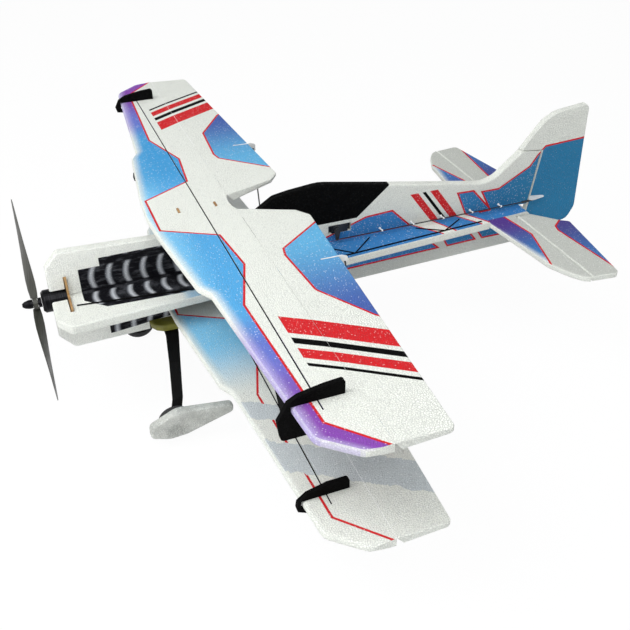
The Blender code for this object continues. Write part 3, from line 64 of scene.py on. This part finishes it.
# Painted shade: the side print's blue darkened on the fin and rudder
SHADED_RUDDER_BLUE = (0.026, 0.20, 0.39)
TAIL_PURPLE = (0.10, 0.05, 0.27)
TAIL_VIOLET = (0.085, 0.065, 0.26)
TAIL_BLUE = (0.05, 0.18, 0.48)
RED = (0.66, 0.018, 0.022)
INDIGO = (0.14, 0.19, 0.62)
PURPLE = (0.25, 0.07, 0.43)
LILAC = (0.50, 0.44, 0.72)
BLACK = (0.002, 0.002, 0.002)
GHOST = (0.60, 0.65, 0.66)

# Slanted bars on the outer wing: start and stop in millimetres along the span, and ink
STRIPES = ((206, 236, RED), (244, 254, BLACK), (262, 278, RED), (286, 291, BLACK))
GHOST_STRIPES = ((206, 234, GHOST), (272, 318, GHOST))
# Slanted bars on the fuselage side: middle and half width in millimetres, and ink
SIDE_BARS = ((378.0, 6.0, RED), (393.0, 2.5, BLACK), (408.0, 6.0, RED))

OUTLINE = 2.6  # width of the red line round a printed panel
PRINT_SOFT = 0.25  # half width of a print's soft edge
BEADS = 450.0  # foam beads in a metre
TOWS = 2600.0  # carbon weave, radians in a metre
# How squarely a face looks along an axis where its print starts and where it is full
TOP_FACING = (0.62, 0.93)
SIDE_FACING = (0.55, 0.85)

GUIDE_STATIONS = (311.0, 358.5, 405.0, 451.0, 497.6)
GUIDE_RADII = (1.55, 1.05)
GUIDE_HALF = 1.1
GUIDE_SIDES = 12

LENS = 47.5
SENSOR = 36.0
FLOOR_SIZE = 6.0
AIM = Vector((0.0, 0.0, 0.15))
# Lamps: name, place in metres, watts and diameter
LAMPS = (
    ("key", (0.1, -1.4, 1.8), 29.0, 1.5),
    ("top", (1.0, -0.2, 1.7), 17.0, 1.6),
    ("fill", (1.0, -1.5, 0.8), 7.5, 1.4),
)


def place(x, aft, up):
    """Row frame position in metres of a point given in the drawing's millimetres."""
    return Vector((x, aft - AFT, up + UP)) / 1000


class Net:
    """Short names for the nodes of one material."""

    def __init__(self, name):
        self.material = bpy.data.materials.new(name)
        self.material.use_nodes = True
        self.tree = self.material.node_tree
        self.shader = self.tree.nodes["Principled BSDF"]
        self.coords = self.tree.nodes.new("ShaderNodeTexCoord")

    def link(self, value, socket):
        """Join an output to a socket, or set a number or a colour on it."""
        if isinstance(value, bpy.types.NodeSocket):
            self.tree.links.new(value, socket)
        else:
            socket.default_value = (*value, 1.0) if isinstance(value, tuple) else value

    def math(self, operation, first, second=0.0, third=0.0):
        node = self.tree.nodes.new("ShaderNodeMath")
        node.operation = operation
        for value, socket in zip((first, second, third), node.inputs):
            self.link(value, socket)
        return node.outputs[0]

    def product(self, first, *others):
        for other in others:
            first = self.math("MULTIPLY", first, other)
        return first

    def ramp(self, value, low, high, start=0.0, stop=1.0):
        """Smooth step of a value from start at low to stop at high."""
        node = self.tree.nodes.new("ShaderNodeMapRange")
        node.interpolation_type = "SMOOTHSTEP"
        self.link(value, node.inputs["Value"])
        for name, number in (("From Min", low), ("From Max", high), ("To Min", start), ("To Max", stop)):
            node.inputs[name].default_value = number
        return node.outputs["Result"]

    def mix(self, amount, first, second):
        """Colour that goes from the first to the second."""
        node = self.tree.nodes.new("ShaderNodeMix")
        node.data_type = "RGBA"
        self.link(amount, node.inputs["Factor"])
        sockets = [socket for socket in node.inputs if socket.type == "RGBA"]
        for value, socket in zip((first, second), sockets):
            self.link(value, socket)
        return node.outputs[2]

    def split(self, vector):
        node = self.tree.nodes.new("ShaderNodeSeparateXYZ")
        self.tree.links.new(vector, node.inputs[0])
        return node.outputs

    def mapped(self, location, scale):
        """The object's own metres, scaled and moved."""
        node = self.tree.nodes.new("ShaderNodeMapping")
        node.inputs["Location"].default_value = location
        node.inputs["Scale"].default_value = scale
        self.tree.links.new(self.coords.outputs["Object"], node.inputs["Vector"])
        return node.outputs[0]

    def drawing(self):
        """The drawing's x, aft and up values in millimetres."""
        return self.split(self.mapped((0.0, AFT, -UP), (1000.0, 1000.0, 1000.0)))

    def facing(self, axis):
        """How squarely the surface faces along one of the object's axes."""
        return self.split(self.coords.outputs["Normal"])["XYZ".index(axis)]

    def flat(self, axis, limits):
        """Mask of the faces that look either way along an axis."""
        return self.ramp(self.math("ABSOLUTE", self.facing(axis)), *limits)

    def texture(self, kind, scale, stretch=(1.0, 1.0, 1.0), **settings):
        """Procedural texture in the object's own metres."""
        node = self.tree.nodes.new("ShaderNodeTex" + kind)
        node.inputs["Scale"].default_value = scale
        for name, value in settings.items():
            if name in node.inputs:
                node.inputs[name].default_value = value
            else:
                setattr(node, name, value)
        self.tree.links.new(self.mapped((0.0, 0.0, 0.0), stretch), node.inputs["Vector"])
        return node.outputs

    def noise(self, scale, detail, stretch=(1.0, 1.0, 1.0), roughness=0.5):
        return self.texture("Noise", scale, stretch, Detail=detail, Roughness=roughness)[0]

    def bump(self, height, strength, distance):
        node = self.tree.nodes.new("ShaderNodeBump")
        node.inputs["Strength"].default_value = strength
        node.inputs["Distance"].default_value = distance
        self.link(height, node.inputs["Height"])
        self.tree.links.new(node.outputs[0], self.shader.inputs["Normal"])

    def finish(self, colour, roughness, **settings):
        self.link(colour, self.shader.inputs["Base Color"])
        self.link(roughness, self.shader.inputs["Roughness"])
        for name, value in settings.items():
            self.shader.inputs[name.replace("_", " ")].default_value = value
        return self.material


def inside(net, first, second, corners):
    """Distance out of a convex outline whose corners run anticlockwise."""
    total = None
    for (u0, v0), (u1, v1) in zip(corners, corners[1:] + corners[:1]):
        long = math.hypot(u1 - u0, v1 - v0)
        across, along = (v1 - v0) / long, (u0 - u1) / long
        part = net.math("MULTIPLY_ADD", second, along, -(u0 * across + v0 * along))
        part = net.math("MULTIPLY_ADD", first, across, part)
        total = part if total is None else net.math("MAXIMUM", total, part)
    return total


def area(net, first, second, *outlines):
    """Distance out of an area made of several convex outlines."""
    total = None
    for corners in outlines:
        part = inside(net, first, second, corners)
        total = part if total is None else net.math("MINIMUM", total, part)
    return total


def paint(net, base, shape, colour, outline=OUTLINE):
    """Print a panel over a base colour, with a red border where it has one."""
    if outline:
        border = net.ramp(shape, outline - PRINT_SOFT, outline + PRINT_SOFT, 1.0, 0.0)
        base = net.mix(border, base, RED)
    return net.mix(net.ramp(shape, -PRINT_SOFT, PRINT_SOFT, 1.0, 0.0), base, colour)


def foam_finish(net, print_colour, printed):
    """White beaded foam, printed where the mask says."""
    beads = net.texture("Voronoi", BEADS, feature="F1", Randomness=1.0)
    seams = net.texture("Voronoi", BEADS, feature="DISTANCE_TO_EDGE", Randomness=1.0)
    cloud = net.noise(9.0, 3.0)
    grain = net.noise(1300.0, 2.0)
    pale = net.mix(net.ramp(cloud, 0.3, 0.7), SHADED_WHITE, WHITE)
    colour = net.mix(printed, pale, print_colour)
    tone = net.tree.nodes.new("ShaderNodeSeparateColor")
    net.tree.links.new(beads["Color"], tone.inputs[0])
    grey = net.tree.nodes.new("ShaderNodeRGBToBW")
    net.tree.links.new(colour, grey.inputs[0])
    # Black print hides the specks and seams
    shown = net.ramp(grey.outputs[0], 0.0, 0.25, 0.03, 1.0)
    some = net.ramp(tone.outputs[0], 0.62, 0.92)
    middle = net.ramp(beads["Distance"], 0.14, 0.42, 1.0, 0.0)
    colour = net.mix(net.product(some, 0.6, middle, shown), colour, SPECK)
    gap = net.ramp(seams["Distance"], 0.0, 0.14, 1.0, 0.0)
    colour = net.mix(net.product(gap, 0.24, shown), colour, SEAM)
    net.bump(net.math("ADD", net.ramp(seams["Distance"], 0.0, 0.16), grain), 0.85, 0.0008)
    rough = net.ramp(tone.outputs[1], 0.0, 1.0, 0.45, 0.7)
    return net.finish(colour, rough, Specular_IOR_Level=0.03)


def behind_nose(net, span, chord, step):
    """Distance aft of a wing's leading edge, which drops back at the step."""
    root = net.math("MULTIPLY_ADD", span, 0.117, -3.1)
    drop = net.math("MULTIPLY_ADD", span, 0.556, 17.0 - 0.556 * step)
    outer = net.math("MULTIPLY_ADD", span, 0.083, 25.5 - 0.083 * step)
    tip = net.math("MULTIPLY_ADD", span, 1.13, -439.0)
    edge = net.math("MAXIMUM", root, net.math("MINIMUM", drop, outer))
    return net.math("SUBTRACT", chord, net.math("MAXIMUM", edge, tip))


def wing_axes(net, aft):
    """Distance from the middle of a wing, and aft of its nose."""
    x, y = net.drawing()[:2]
    return x, net.math("ABSOLUTE", x), net.math("SUBTRACT", y, aft)


def nose_band(net, span, chord, step, base, colour, rim):
    """Print the band along a wing's nose, which goes over into the rim colour at the leading edge."""
    band = area(
        net, span, chord,
        [(20, -30), (228, -30), (228, 50), (147, 76), (76, 69)],
        [(-40, -30), (90, -30), (90, 7), (-40, 7)],
        [(150, -30), (417, -30), (417, 61), (150, 48)],
        [(410, -30), (560, -30), (560, 194), (416, 61)],
    )
    glow = net.ramp(behind_nose(net, span, chord, step), 0.0, 13.0, 0.8, 0.0)
    return paint(net, base, band, net.mix(glow, colour, rim))


def slanted_bar(net, span, chord, low, high, start):
    """Distance out of a slanted bar that starts at a chord station."""
    slant = net.math("MULTIPLY_ADD", chord, -0.62, span)
    bar = net.math("ABSOLUTE", net.math("SUBTRACT", slant, (low + high) / 2))
    bar = net.math("SUBTRACT", bar, (high - low) / 2)
    return net.math("MAXIMUM", bar, net.math("SUBTRACT", start, chord))


def upper_wing_material():
    """Upper wing print: nose band, rear patch and slanted bars."""
    net = Net("upper_foam")
    x, span, chord = wing_axes(net, 0.0)
    tipward = net.ramp(span, 225.0, 300.0)
    inner = net.mix(net.ramp(chord, 0.0, 50.0), SKY, BLUE)
    inner = net.mix(net.ramp(x, -120.0, -40.0, 0.7, 0.0), inner, FAR_BLUE)
    outer = net.mix(net.ramp(span, 300.0, 400.0), INDIGO, PURPLE)
    corners = [(78, 194), (131, 130), (145, 127), (222, 133), (284, 172), (306, 194)]
    rear = net.mix(net.ramp(span, 110.0, 270.0), PATCH_INNER, PATCH_OUTER)
    colour = paint(net, WHITE, inside(net, span, chord, corners), rear)
    rim = net.mix(tipward, WHITE, LILAC)
    colour = nose_band(net, span, chord, 172.0, colour, net.mix(tipward, inner, outer), rim)
    for low, high, ink in STRIPES:
        colour = paint(net, colour, slanted_bar(net, span, chord, low, high, 78.0), ink, 0.0)
    edge = net.ramp(net.facing("Y"), -0.9, -0.3, 1.0, 0.0)
    pale = net.mix(net.product(edge, tipward), WHITE, LILAC)
    return foam_finish(net, net.mix(net.flat("Z", TOP_FACING), pale, colour), 1.0)


def lower_wing_material():
    """Lower wing print: a fading nose band and worn grey bars."""
    net = Net("lower_foam")
    x, span, chord = wing_axes(net, 9.0)
    fading = net.mix(net.ramp(span, 110.0, 225.0), SKY, WHITE)
    colour = nose_band(net, span, chord, 190.0, WHITE, fading, WHITE)
    worn = net.noise(70.0, 5.0, roughness=0.6)
    for low, high, ink in GHOST_STRIPES:
        bar = slanted_bar(net, span, chord, low, high, -40.0)
        bar = net.math("MULTIPLY_ADD", worn, 22.0, net.math("SUBTRACT", bar, 11.0))
        colour = paint(net, colour, bar, ink, 0.0)
    return foam_finish(net, net.mix(net.flat("Z", TOP_FACING), WHITE, colour), 1.0)


def tail_material():
    """Tailplane and elevator print."""
    net = Net("tail_foam")
    x, y = net.drawing()[:2]
    span = net.math("ABSOLUTE", x)
    corners = [(-40, 440), (260, 440), (260, 453), (155, 482), (86, 502), (31, 493), (-40, 482)]
    nose = inside(net, span, y, corners)
    core = inside(net, span, y, [(-40, 440), (29, 440), (29, 500), (26, 540), (-40, 540)])
    rear = inside(net, span, y, [(52, 580), (79, 547), (90, 544), (198, 555), (240, 580)])
    blue = net.mix(net.ramp(span, 40.0, 150.0), TAIL_PURPLE, DEEP)
    behind = net.math("MULTIPLY_ADD", span, -0.19, net.math("SUBTRACT", y, 450.5))
    blue = net.mix(net.ramp(behind, 0.0, 12.0, 0.8, 0.0), blue, WHITE)
    # The tail's white ground is painted shade
    colour = paint(net, TAIL_SHADED_WHITE, nose, blue)
    violet = net.mix(net.ramp(span, 60.0, 180.0), TAIL_VIOLET, TAIL_BLUE)
    colour = paint(net, colour, rear, violet)
    colour = paint(net, colour, core, DEEP, 0.0)
    return foam_finish(net, colour, net.flat("Z", TOP_FACING))


def louvres(net, along, across, start):
    """Dark vented panel: rows of bright bent louvres."""
    length, pitch = 21.0, 40.0
    row = net.math("FRACT", net.math("DIVIDE", net.math("SUBTRACT", across, start), pitch))
    bow = net.math("POWER", net.math("SUBTRACT", row, 0.45), 2.0)
    share = net.math("FRACT", net.math("MULTIPLY_ADD", bow, -1.3, net.math("DIVIDE", along, length)))
    vent = net.product(
        net.ramp(share, 0.12, 0.22), net.ramp(share, 0.52, 0.66, 1.0, 0.0),
        net.ramp(row, 0.08, 0.16), net.ramp(row, 0.80, 0.90, 1.0, 0.0),
    )
    streak = net.noise(160.0, 3.0, (0.4, 0.4, 1.6))
    shine = net.mix(net.ramp(share, 0.18, 0.36), (0.10, 0.105, 0.12), (0.52, 0.54, 0.57))
    shine = net.mix(net.ramp(share, 0.36, 0.6), shine, (0.04, 0.042, 0.048))
    ground = net.mix(net.ramp(streak, 0.45, 0.75), (0.006, 0.006, 0.008), (0.06, 0.062, 0.07))
    return net.mix(vent, ground, shine)


def side_material():
    """Side profiles, fin and rudder: canopy, panels and a louvred nose."""
    net = Net("side_foam")
    y, z = net.drawing()[1:]
    fin = area(
        net, y, z,
        [(495, -94), (545, -94), (545, -48.5), (470, -48)],
        [(492, -60), (570, -60), (570, -7), (492, -50)],
        [(543, -160), (700, -160), (700, 11), (565, 4.5), (554, -6), (543, -22)],
    )
    panels = [
        inside(net, y, z, [(205, -92), (356, -92), (359, -81), (320, -42), (290, -52), (228, -55)]),
        inside(net, y, z, [(448, -81), (453, -92), (497, -92), (487, -81), (458, -44), (428, -43)]),
        inside(net, y, z, [(212, -126), (402, -122), (356, -80), (205, -80)]),
        inside(net, y, z, [(421, -122), (463, -121), (430, -80), (396, -80)]),
        inside(net, y, z, [(478, -121), (530, -121), (506, -80), (450, -80)]),
    ]
    # Painted light: the side whitest at the nose and duller aft
    colour = net.mix(net.ramp(y, -110.0, 150.0), NOSE_LIT_WHITE, SIDE_WHITE)
    # Painted shade under the deck, darkest low on the aft keel
    underdeck_shade = net.product(
        net.ramp(z, -125.0, -95.0, 0.45, 0.0),
        net.ramp(y, 120.0, 260.0),
        net.ramp(y, 300.0, 520.0, 1.0, 0.35),
    )
    colour = net.mix(underdeck_shade, colour, UNDERDECK_SHADE)
    # Painted shade: the panels' blue darkens aft towards the fin and rudder
    aft_shaded_blue = net.mix(net.ramp(y, 300.0, 600.0), DEEP, SHADED_RUDDER_BLUE)
    for shape in (*panels, fin):
        colour = paint(net, colour, shape, aft_shaded_blue)
    ends = net.math("MAXIMUM", net.math("SUBTRACT", -77.0, z), net.math("ADD", z, 30.0))
    for middle, half, tint in SIDE_BARS:
        slant = net.math("MULTIPLY_ADD", z, 0.75, net.math("SUBTRACT", y, middle - 40.0))
        bar = net.math("SUBTRACT", net.math("ABSOLUTE", slant), half)
        colour = paint(net, colour, net.math("MAXIMUM", bar, ends), tint, 0.0)
    nose = area(
        net, y, z,
        [(-90, -133), (-60, -136), (-60, -46), (-90, -46)],
        [(-64, -147), (-30, -144), (40, -136), (40, -34), (-64, -35)],
    )
    colour = paint(net, colour, nose, louvres(net, y, z, -80.0), 0.0)
    canopy = inside(net, y, z, [(120, -49), (276, -49), (340, 6), (340, 40), (120, 40)])
    colour = paint(net, colour, canopy, BLACK, 0.0)
    # The canopy's black goes over the top edge as well
    cap = net.product(net.ramp(net.facing("Z"), 0.3, 0.6), net.ramp(canopy, -0.5, 0.5, 1.0, 0.0))
    return foam_finish(net, colour, net.math("MAXIMUM", net.flat("X", SIDE_FACING), cap))


def deck_material():
    """Deck print: louvred nose beside the profile and blue panels aft."""
    net = Net("deck_foam")
    x, y = net.drawing()[:2]
    span = net.math("ABSOLUTE", x)
    panels = [
        inside(net, span, y, [(-20, 196), (60, 214), (60, 402), (-20, 339)]),
        inside(net, span, y, [(-20, 382), (60, 421), (60, 466), (-20, 412)]),
        inside(net, span, y, [(-20, 431), (60, 481), (60, 520), (-20, 520)]),
    ]
    colour = WHITE
    for shape in panels:
        colour = paint(net, colour, shape, DEEP)
    nose = inside(net, span, y, [(-20, -90), (26, -90), (48, -66), (54, 60), (-20, 60)])
    colour = paint(net, colour, nose, louvres(net, y, span, 6.0), 0.0)
    haze = inside(net, span, y, [(46, 20), (90, 20), (90, 190), (30, 190)])
    colour = net.mix(net.ramp(haze, -14.0, 0.0, 0.85, 0.0), colour, DECK_HAZE)
    return foam_finish(net, colour, net.flat("Z", TOP_FACING))


def axle_reach(net):
    """Distance from the line through both axles."""
    y, z = net.drawing()[1:]
    aft = net.math("POWER", net.math("SUBTRACT", y, AXLE_AFT), 2.0)
    up = net.math("POWER", net.math("SUBTRACT", z, AXLE_UP), 2.0)
    return net.math("SQRT", net.math("ADD", aft, up))


def pant_material():
    """Unprinted foam, mottled and soiled round the axle, its greys darker than the white foam as painted
    shade.
    """
    net = Net("pant_foam_shaded")
    cloud = net.noise(45.0, 6.0, roughness=0.75)
    # Painted shade: both greys sit well below the foam's white; the mottling between them is the foam's
    # own
    tone = net.mix(net.ramp(cloud, 0.3, 0.7), (0.42, 0.43, 0.40), (0.68, 0.69, 0.645))
    pits = net.noise(500.0, 4.0, roughness=0.7)
    soil = net.product(net.ramp(axle_reach(net), 4.0, 24.0, 0.8, 0.0), net.ramp(pits, 0.35, 0.65))
    return foam_finish(net, net.mix(soil, tone, SOIL), 0.85)


def black_foam():
    """Black beaded foam with a fibrous nap."""
    net = Net("black_foam")
    beads = net.texture("Voronoi", 420.0, feature="DISTANCE_TO_EDGE")
    nap = net.noise(1400.0, 4.0, (1.0, 0.35, 1.0))
    colour = net.mix(net.ramp(nap, 0.35, 0.75), (0.001, 0.001, 0.001), (0.007, 0.007, 0.007))
    net.bump(net.math("ADD", net.ramp(beads["Distance"], 0.0, 0.15), nap), 0.5, 0.0003)
    return net.finish(colour, net.ramp(nap, 0.3, 0.8, 0.65, 0.95), Specular_IOR_Level=0.03)


def carbon(name, first, second):
    """Woven carbon: two crossing tows under clear resin."""
    net = Net(name)
    axes = net.split(net.coords.outputs["Object"])
    across = net.math("SINE", net.math("MULTIPLY", axes["XYZ".index(first)], TOWS))
    along = net.math("SINE", net.math("MULTIPLY", axes["XYZ".index(second)], TOWS))
    weave = net.product(across, along)
    cloud = net.noise(120.0, 3.0)
    tone = net.math("MULTIPLY_ADD", cloud, 0.35, net.ramp(weave, -0.5, 0.5))
    colour = net.mix(tone, (0.0005, 0.0005, 0.0005), (0.008, 0.008, 0.008))
    net.bump(weave, 0.25, 0.00015)
    return net.finish(colour, net.ramp(weave, -0.6, 0.6, 0.4, 0.6), Specular_IOR_Level=0.04)


def plywood():
    """Birch ply: grain on the face and layers at the edge."""
    net = Net("plywood")
    grain = net.noise(60.0, 6.0, (1.0, 1.0, 0.08), 0.65)
    layers = net.texture("Wave", 420.0, (0.0, 1.0, 0.0), Distortion=0.6)
    colour = net.mix(net.ramp(grain, 0.32, 0.7), (0.20, 0.105, 0.036), (0.42, 0.25, 0.10))
    colour = net.mix(net.math("MULTIPLY", layers["Fac"], 0.3), colour, (0.20, 0.10, 0.035))
    net.bump(grain, 0.3, 0.0002)
    return net.finish(colour, net.ramp(grain, 0.3, 0.7, 0.75, 0.5))


def moulded(name, low, high, rough, **settings):
    """Moulded plastic: fine grain, slight tone changes and handling marks."""
    net = Net(name)
    cloud = net.noise(70.0, 4.0)
    colour = net.mix(net.ramp(cloud, 0.3, 0.72), low, high)
    net.bump(net.noise(1600.0, 2.0), 0.18, 0.0001)
    return net.finish(colour, net.ramp(cloud, 0.3, 0.75, rough - 0.08, rough + 0.12), **settings)


def turned_metal(name, low, high, rough):
    """Turned metal: rings along the thrust line and small marks."""
    net = Net(name)
    rings = net.noise(300.0, 4.0, (0.15, 6.0, 0.15))
    marks = net.noise(90.0, 5.0)
    colour = net.mix(net.ramp(rings, 0.3, 0.7), low, high)
    net.bump(rings, 0.15, 0.0001)
    return net.finish(colour, net.ramp(marks, 0.3, 0.7, rough - 0.07, rough + 0.12), Metallic=1.0)


def wheel_material():
    """Black foam tyre round a grey hub."""
    net = Net("wheel_foam")
    reach = axle_reach(net)
    nap = net.noise(900.0, 4.0)
    patchy = net.ramp(nap, 0.3, 0.7)
    tyre = net.mix(patchy, (0.008, 0.008, 0.009), (0.035, 0.035, 0.037))
    hub = net.mix(patchy, (0.05, 0.05, 0.055), (0.10, 0.10, 0.105))
    colour = net.mix(net.ramp(reach, 12.4, 12.9, 1.0, 0.0), tyre, hub)
    net.bump(nap, 0.4, 0.0002)
    return net.finish(colour, net.ramp(reach, 12.0, 13.0, 0.45, 0.85))


def dress(material, *names):
    """Give CAD nodes a material."""
    for name in names:
        data = nodes[name].data
        data.materials.clear()
        data.materials.append(material)


dress(upper_wing_material(), "upper_wing", "upper_aileron_left", "upper_aileron_right")
dress(lower_wing_material(), "lower_wing", "lower_aileron_left", "lower_aileron_right")
dress(side_material(), "upper_profile", "lower_profile", "rudder")
dress(deck_material(), "deck")
dress(tail_material(), "tailplane", "elevator_left", "elevator_right")
dress(pant_material(), "wheel_pant_left", "wheel_pant_right")
dress(black_foam(), "upper_clip_left", "upper_clip_right", "lower_clip_left", "lower_clip_right")
dress(
    carbon("spar_carbon", "X", "Y"),
    "upper_spar", "lower_spar", "deck_lattice_left", "deck_lattice_right",
)
dress(carbon("leg_carbon", "Z", "Y"), "gear_legs")
dress(plywood(), "motor_mount", "front_cabane", "rear_cabane", "root_brace")
dress(moulded("olive_plastic", (0.11, 0.105, 0.008), (0.19, 0.18, 0.02), 0.55), "gear_saddle")
dress(wheel_material(), "wheel_left", "wheel_right")
dress(
    turned_metal("motor_metal", (0.006, 0.006, 0.007), (0.024, 0.024, 0.026), 0.34),
    "motor_can", "motor_base",
)
dress(turned_metal("bright_metal", (0.45, 0.45, 0.47), (0.62, 0.62, 0.64), 0.28), "elevator_joiner")
dress(
    turned_metal("nut_metal", (0.005, 0.005, 0.006), (0.02, 0.02, 0.021), 0.32),
    "prop_nut", "prop_adapter",
)
dress(moulded("prop_plastic", (0.022, 0.022, 0.017), (0.044, 0.044, 0.035), 0.42), "propeller")
dress(
    moulded("servo_case", (0.008, 0.009, 0.012), (0.018, 0.02, 0.027), 0.35),
    "rudder_servo", "elevator_servo", "aileron_servo",
)
dress(
    moulded("black_plastic", (0.008, 0.008, 0.009), (0.022, 0.022, 0.024), 0.42),
    "rudder_arm", "elevator_arm", "aileron_arm", "rudder_pushrod", "elevator_pushrod",
    "aileron_pushrod_left", "aileron_pushrod_right", "link_rod_left", "link_rod_right",
    "speed_controller", "receiver",
)
dress(
    moulded("white_plastic", (0.60, 0.61, 0.60), (0.74, 0.75, 0.74), 0.45),
    "upper_link_horn_left", "upper_link_horn_right", "lower_link_horn_left", "lower_link_horn_right",
    "drive_horn_left", "drive_horn_right", "rudder_horn", "elevator_horn",
)
dress(
    moulded("battery_wrap", (0.012, 0.03, 0.12), (0.02, 0.05, 0.19), 0.3, Coat_Weight=0.3),
    "battery",
)


def guide_mesh(name, station):
    """Guide of the rudder pushrod: an eye, its stem and a foot on the fuselage side."""
    body = bmesh.new()
    for radius in GUIDE_RADII:
        for shift in (-GUIDE_HALF, GUIDE_HALF):
            for turn in range(GUIDE_SIDES):
                angle = 2 * math.pi * turn / GUIDE_SIDES
                x = ROD_X + radius * math.cos(angle)
                body.verts.new(place(x, station + shift, ROD_UP + radius * math.sin(angle)))
    body.verts.ensure_lookup_table()
    for turn in range(GUIDE_SIDES):
        following = (turn + 1) % GUIDE_SIDES
        rows = [body.verts[row * GUIDE_SIDES + turn] for row in range(4)]
        nexts = [body.verts[row * GUIDE_SIDES + following] for row in range(4)]
        for low, high in ((0, 1), (1, 3), (3, 2), (2, 0)):
            body.faces.new((rows[low], rows[high], nexts[high], nexts[low]))
    for vertex in bmesh.ops.create_cube(body, size=1.0)["verts"]:
        x, aft, up = vertex.co
        vertex.co = place(8.95 + 5.9 * x, station + 1.6 * aft, ROD_UP + 1.2 * up)
    foot = bmesh.ops.create_cone(
        body, cap_ends=True, segments=14, radius1=1.0, radius2=0.8, depth=1.0
    )
    for vertex in foot["verts"]:
        up, aft, x = vertex.co
        vertex.co = place(6.5 + 0.9 * x, station + 1.8 * aft, ROD_UP + 1.8 * up)
    bmesh.ops.recalc_face_normals(body, faces=body.faces)
    mesh = bpy.data.meshes.new(name)
    body.to_mesh(mesh)
    body.free()
    return mesh


guide_material = moulded("guide_plastic", (0.62, 0.63, 0.62), (0.76, 0.77, 0.76), 0.45)
for index, station in enumerate(GUIDE_STATIONS):
    mesh = guide_mesh(f"rod_guide_{index}", station)
    mesh.materials.append(guide_material)
    guide = bpy.data.objects.new(mesh.name, mesh)
    scene.collection.objects.link(guide)
    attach(guide, "airframe")

# Camera at the photograph's place
right = Vector((0.36812, 0.92978, -0.00237))
upward = Vector((-0.53456, 0.21372, 0.81766))
back = Vector((0.76075, -0.29973, 0.5757))
camera_data = bpy.data.cameras.new("camera")
camera_data.sensor_width = SENSOR
camera_data.lens = LENS
camera = bpy.data.objects.new("camera", camera_data)
spot = place(897.8, -135.5, 483.0)
camera.matrix_world = Matrix.Translation(spot) @ Matrix((right, upward, back)).transposed().to_4x4()
scene.collection.objects.link(camera)
scene.camera = camera

# Pale floor that stays white to the camera and keeps the shadow
floor_mesh = bpy.data.meshes.new("floor")
floor_body = bmesh.new()
bmesh.ops.create_grid(floor_body, x_segments=2, y_segments=2, size=FLOOR_SIZE)
floor_body.to_mesh(floor_mesh)
floor_body.free()
floor = bpy.data.objects.new("floor", floor_mesh)
scene.collection.objects.link(floor)
floor_net = Net("floor_paper")
paper = floor_net.noise(3.0, 2.0)
tone = floor_net.mix(paper, (0.86, 0.86, 0.865), (0.89, 0.89, 0.89))
floor_net.finish(tone, floor_net.ramp(paper, 0.3, 0.7, 0.8, 0.9))
glow = floor_net.tree.nodes.new("ShaderNodeEmission")
glow.inputs["Strength"].default_value = 1.0
path = floor_net.tree.nodes.new("ShaderNodeLightPath")
seen = floor_net.math("MAXIMUM", path.outputs["Is Camera Ray"], path.outputs["Is Glossy Ray"])
seen = floor_net.math("MAXIMUM", seen, path.outputs["Is Transmission Ray"])
blend = floor_net.tree.nodes.new("ShaderNodeMixShader")
floor_net.tree.links.new(floor_net.math("MULTIPLY", seen, 0.95), blend.inputs[0])
floor_net.tree.links.new(floor_net.shader.outputs[0], blend.inputs[1])
floor_net.tree.links.new(glow.outputs[0], blend.inputs[2])
output = floor_net.tree.nodes["Material Output"]
floor_net.tree.links.new(blend.outputs[0], output.inputs["Surface"])
floor_mesh.materials.append(floor_net.material)

# World: white to the camera, plain grey as light
world = bpy.data.worlds.new("studio")
scene.world = world
world.use_nodes = True
tree = world.node_tree
ambient = tree.nodes["Background"]
ambient.inputs["Color"].default_value = (0.95, 0.97, 1.0, 1.0)
ambient.inputs["Strength"].default_value = 0.5
backdrop = tree.nodes.new("ShaderNodeBackground")
backdrop.inputs["Color"].default_value = (1.0, 1.0, 1.0, 1.0)
path = tree.nodes.new("ShaderNodeLightPath")
either = tree.nodes.new("ShaderNodeMath")
either.operation = "MAXIMUM"
tree.links.new(path.outputs["Is Camera Ray"], either.inputs[0])
tree.links.new(path.outputs["Is Transmission Ray"], either.inputs[1])
blend = tree.nodes.new("ShaderNodeMixShader")
tree.links.new(either.outputs[0], blend.inputs[0])
tree.links.new(ambient.outputs[0], blend.inputs[1])
tree.links.new(backdrop.outputs[0], blend.inputs[2])
tree.links.new(blend.outputs[0], tree.nodes["World Output"].inputs["Surface"])

# Soft studio lamps
for name, where, power, size in LAMPS:
    lamp_data = bpy.data.lights.new(name, "AREA")
    lamp_data.energy = power
    lamp_data.shape = "DISK"
    lamp_data.size = size
    lamp = bpy.data.objects.new(name, lamp_data)
    lamp.location = where
    lamp.rotation_euler = (AIM - Vector(where)).to_track_quat("-Z", "Y").to_euler()
    scene.collection.objects.link(lamp)

scene.view_settings.view_transform = "Standard"
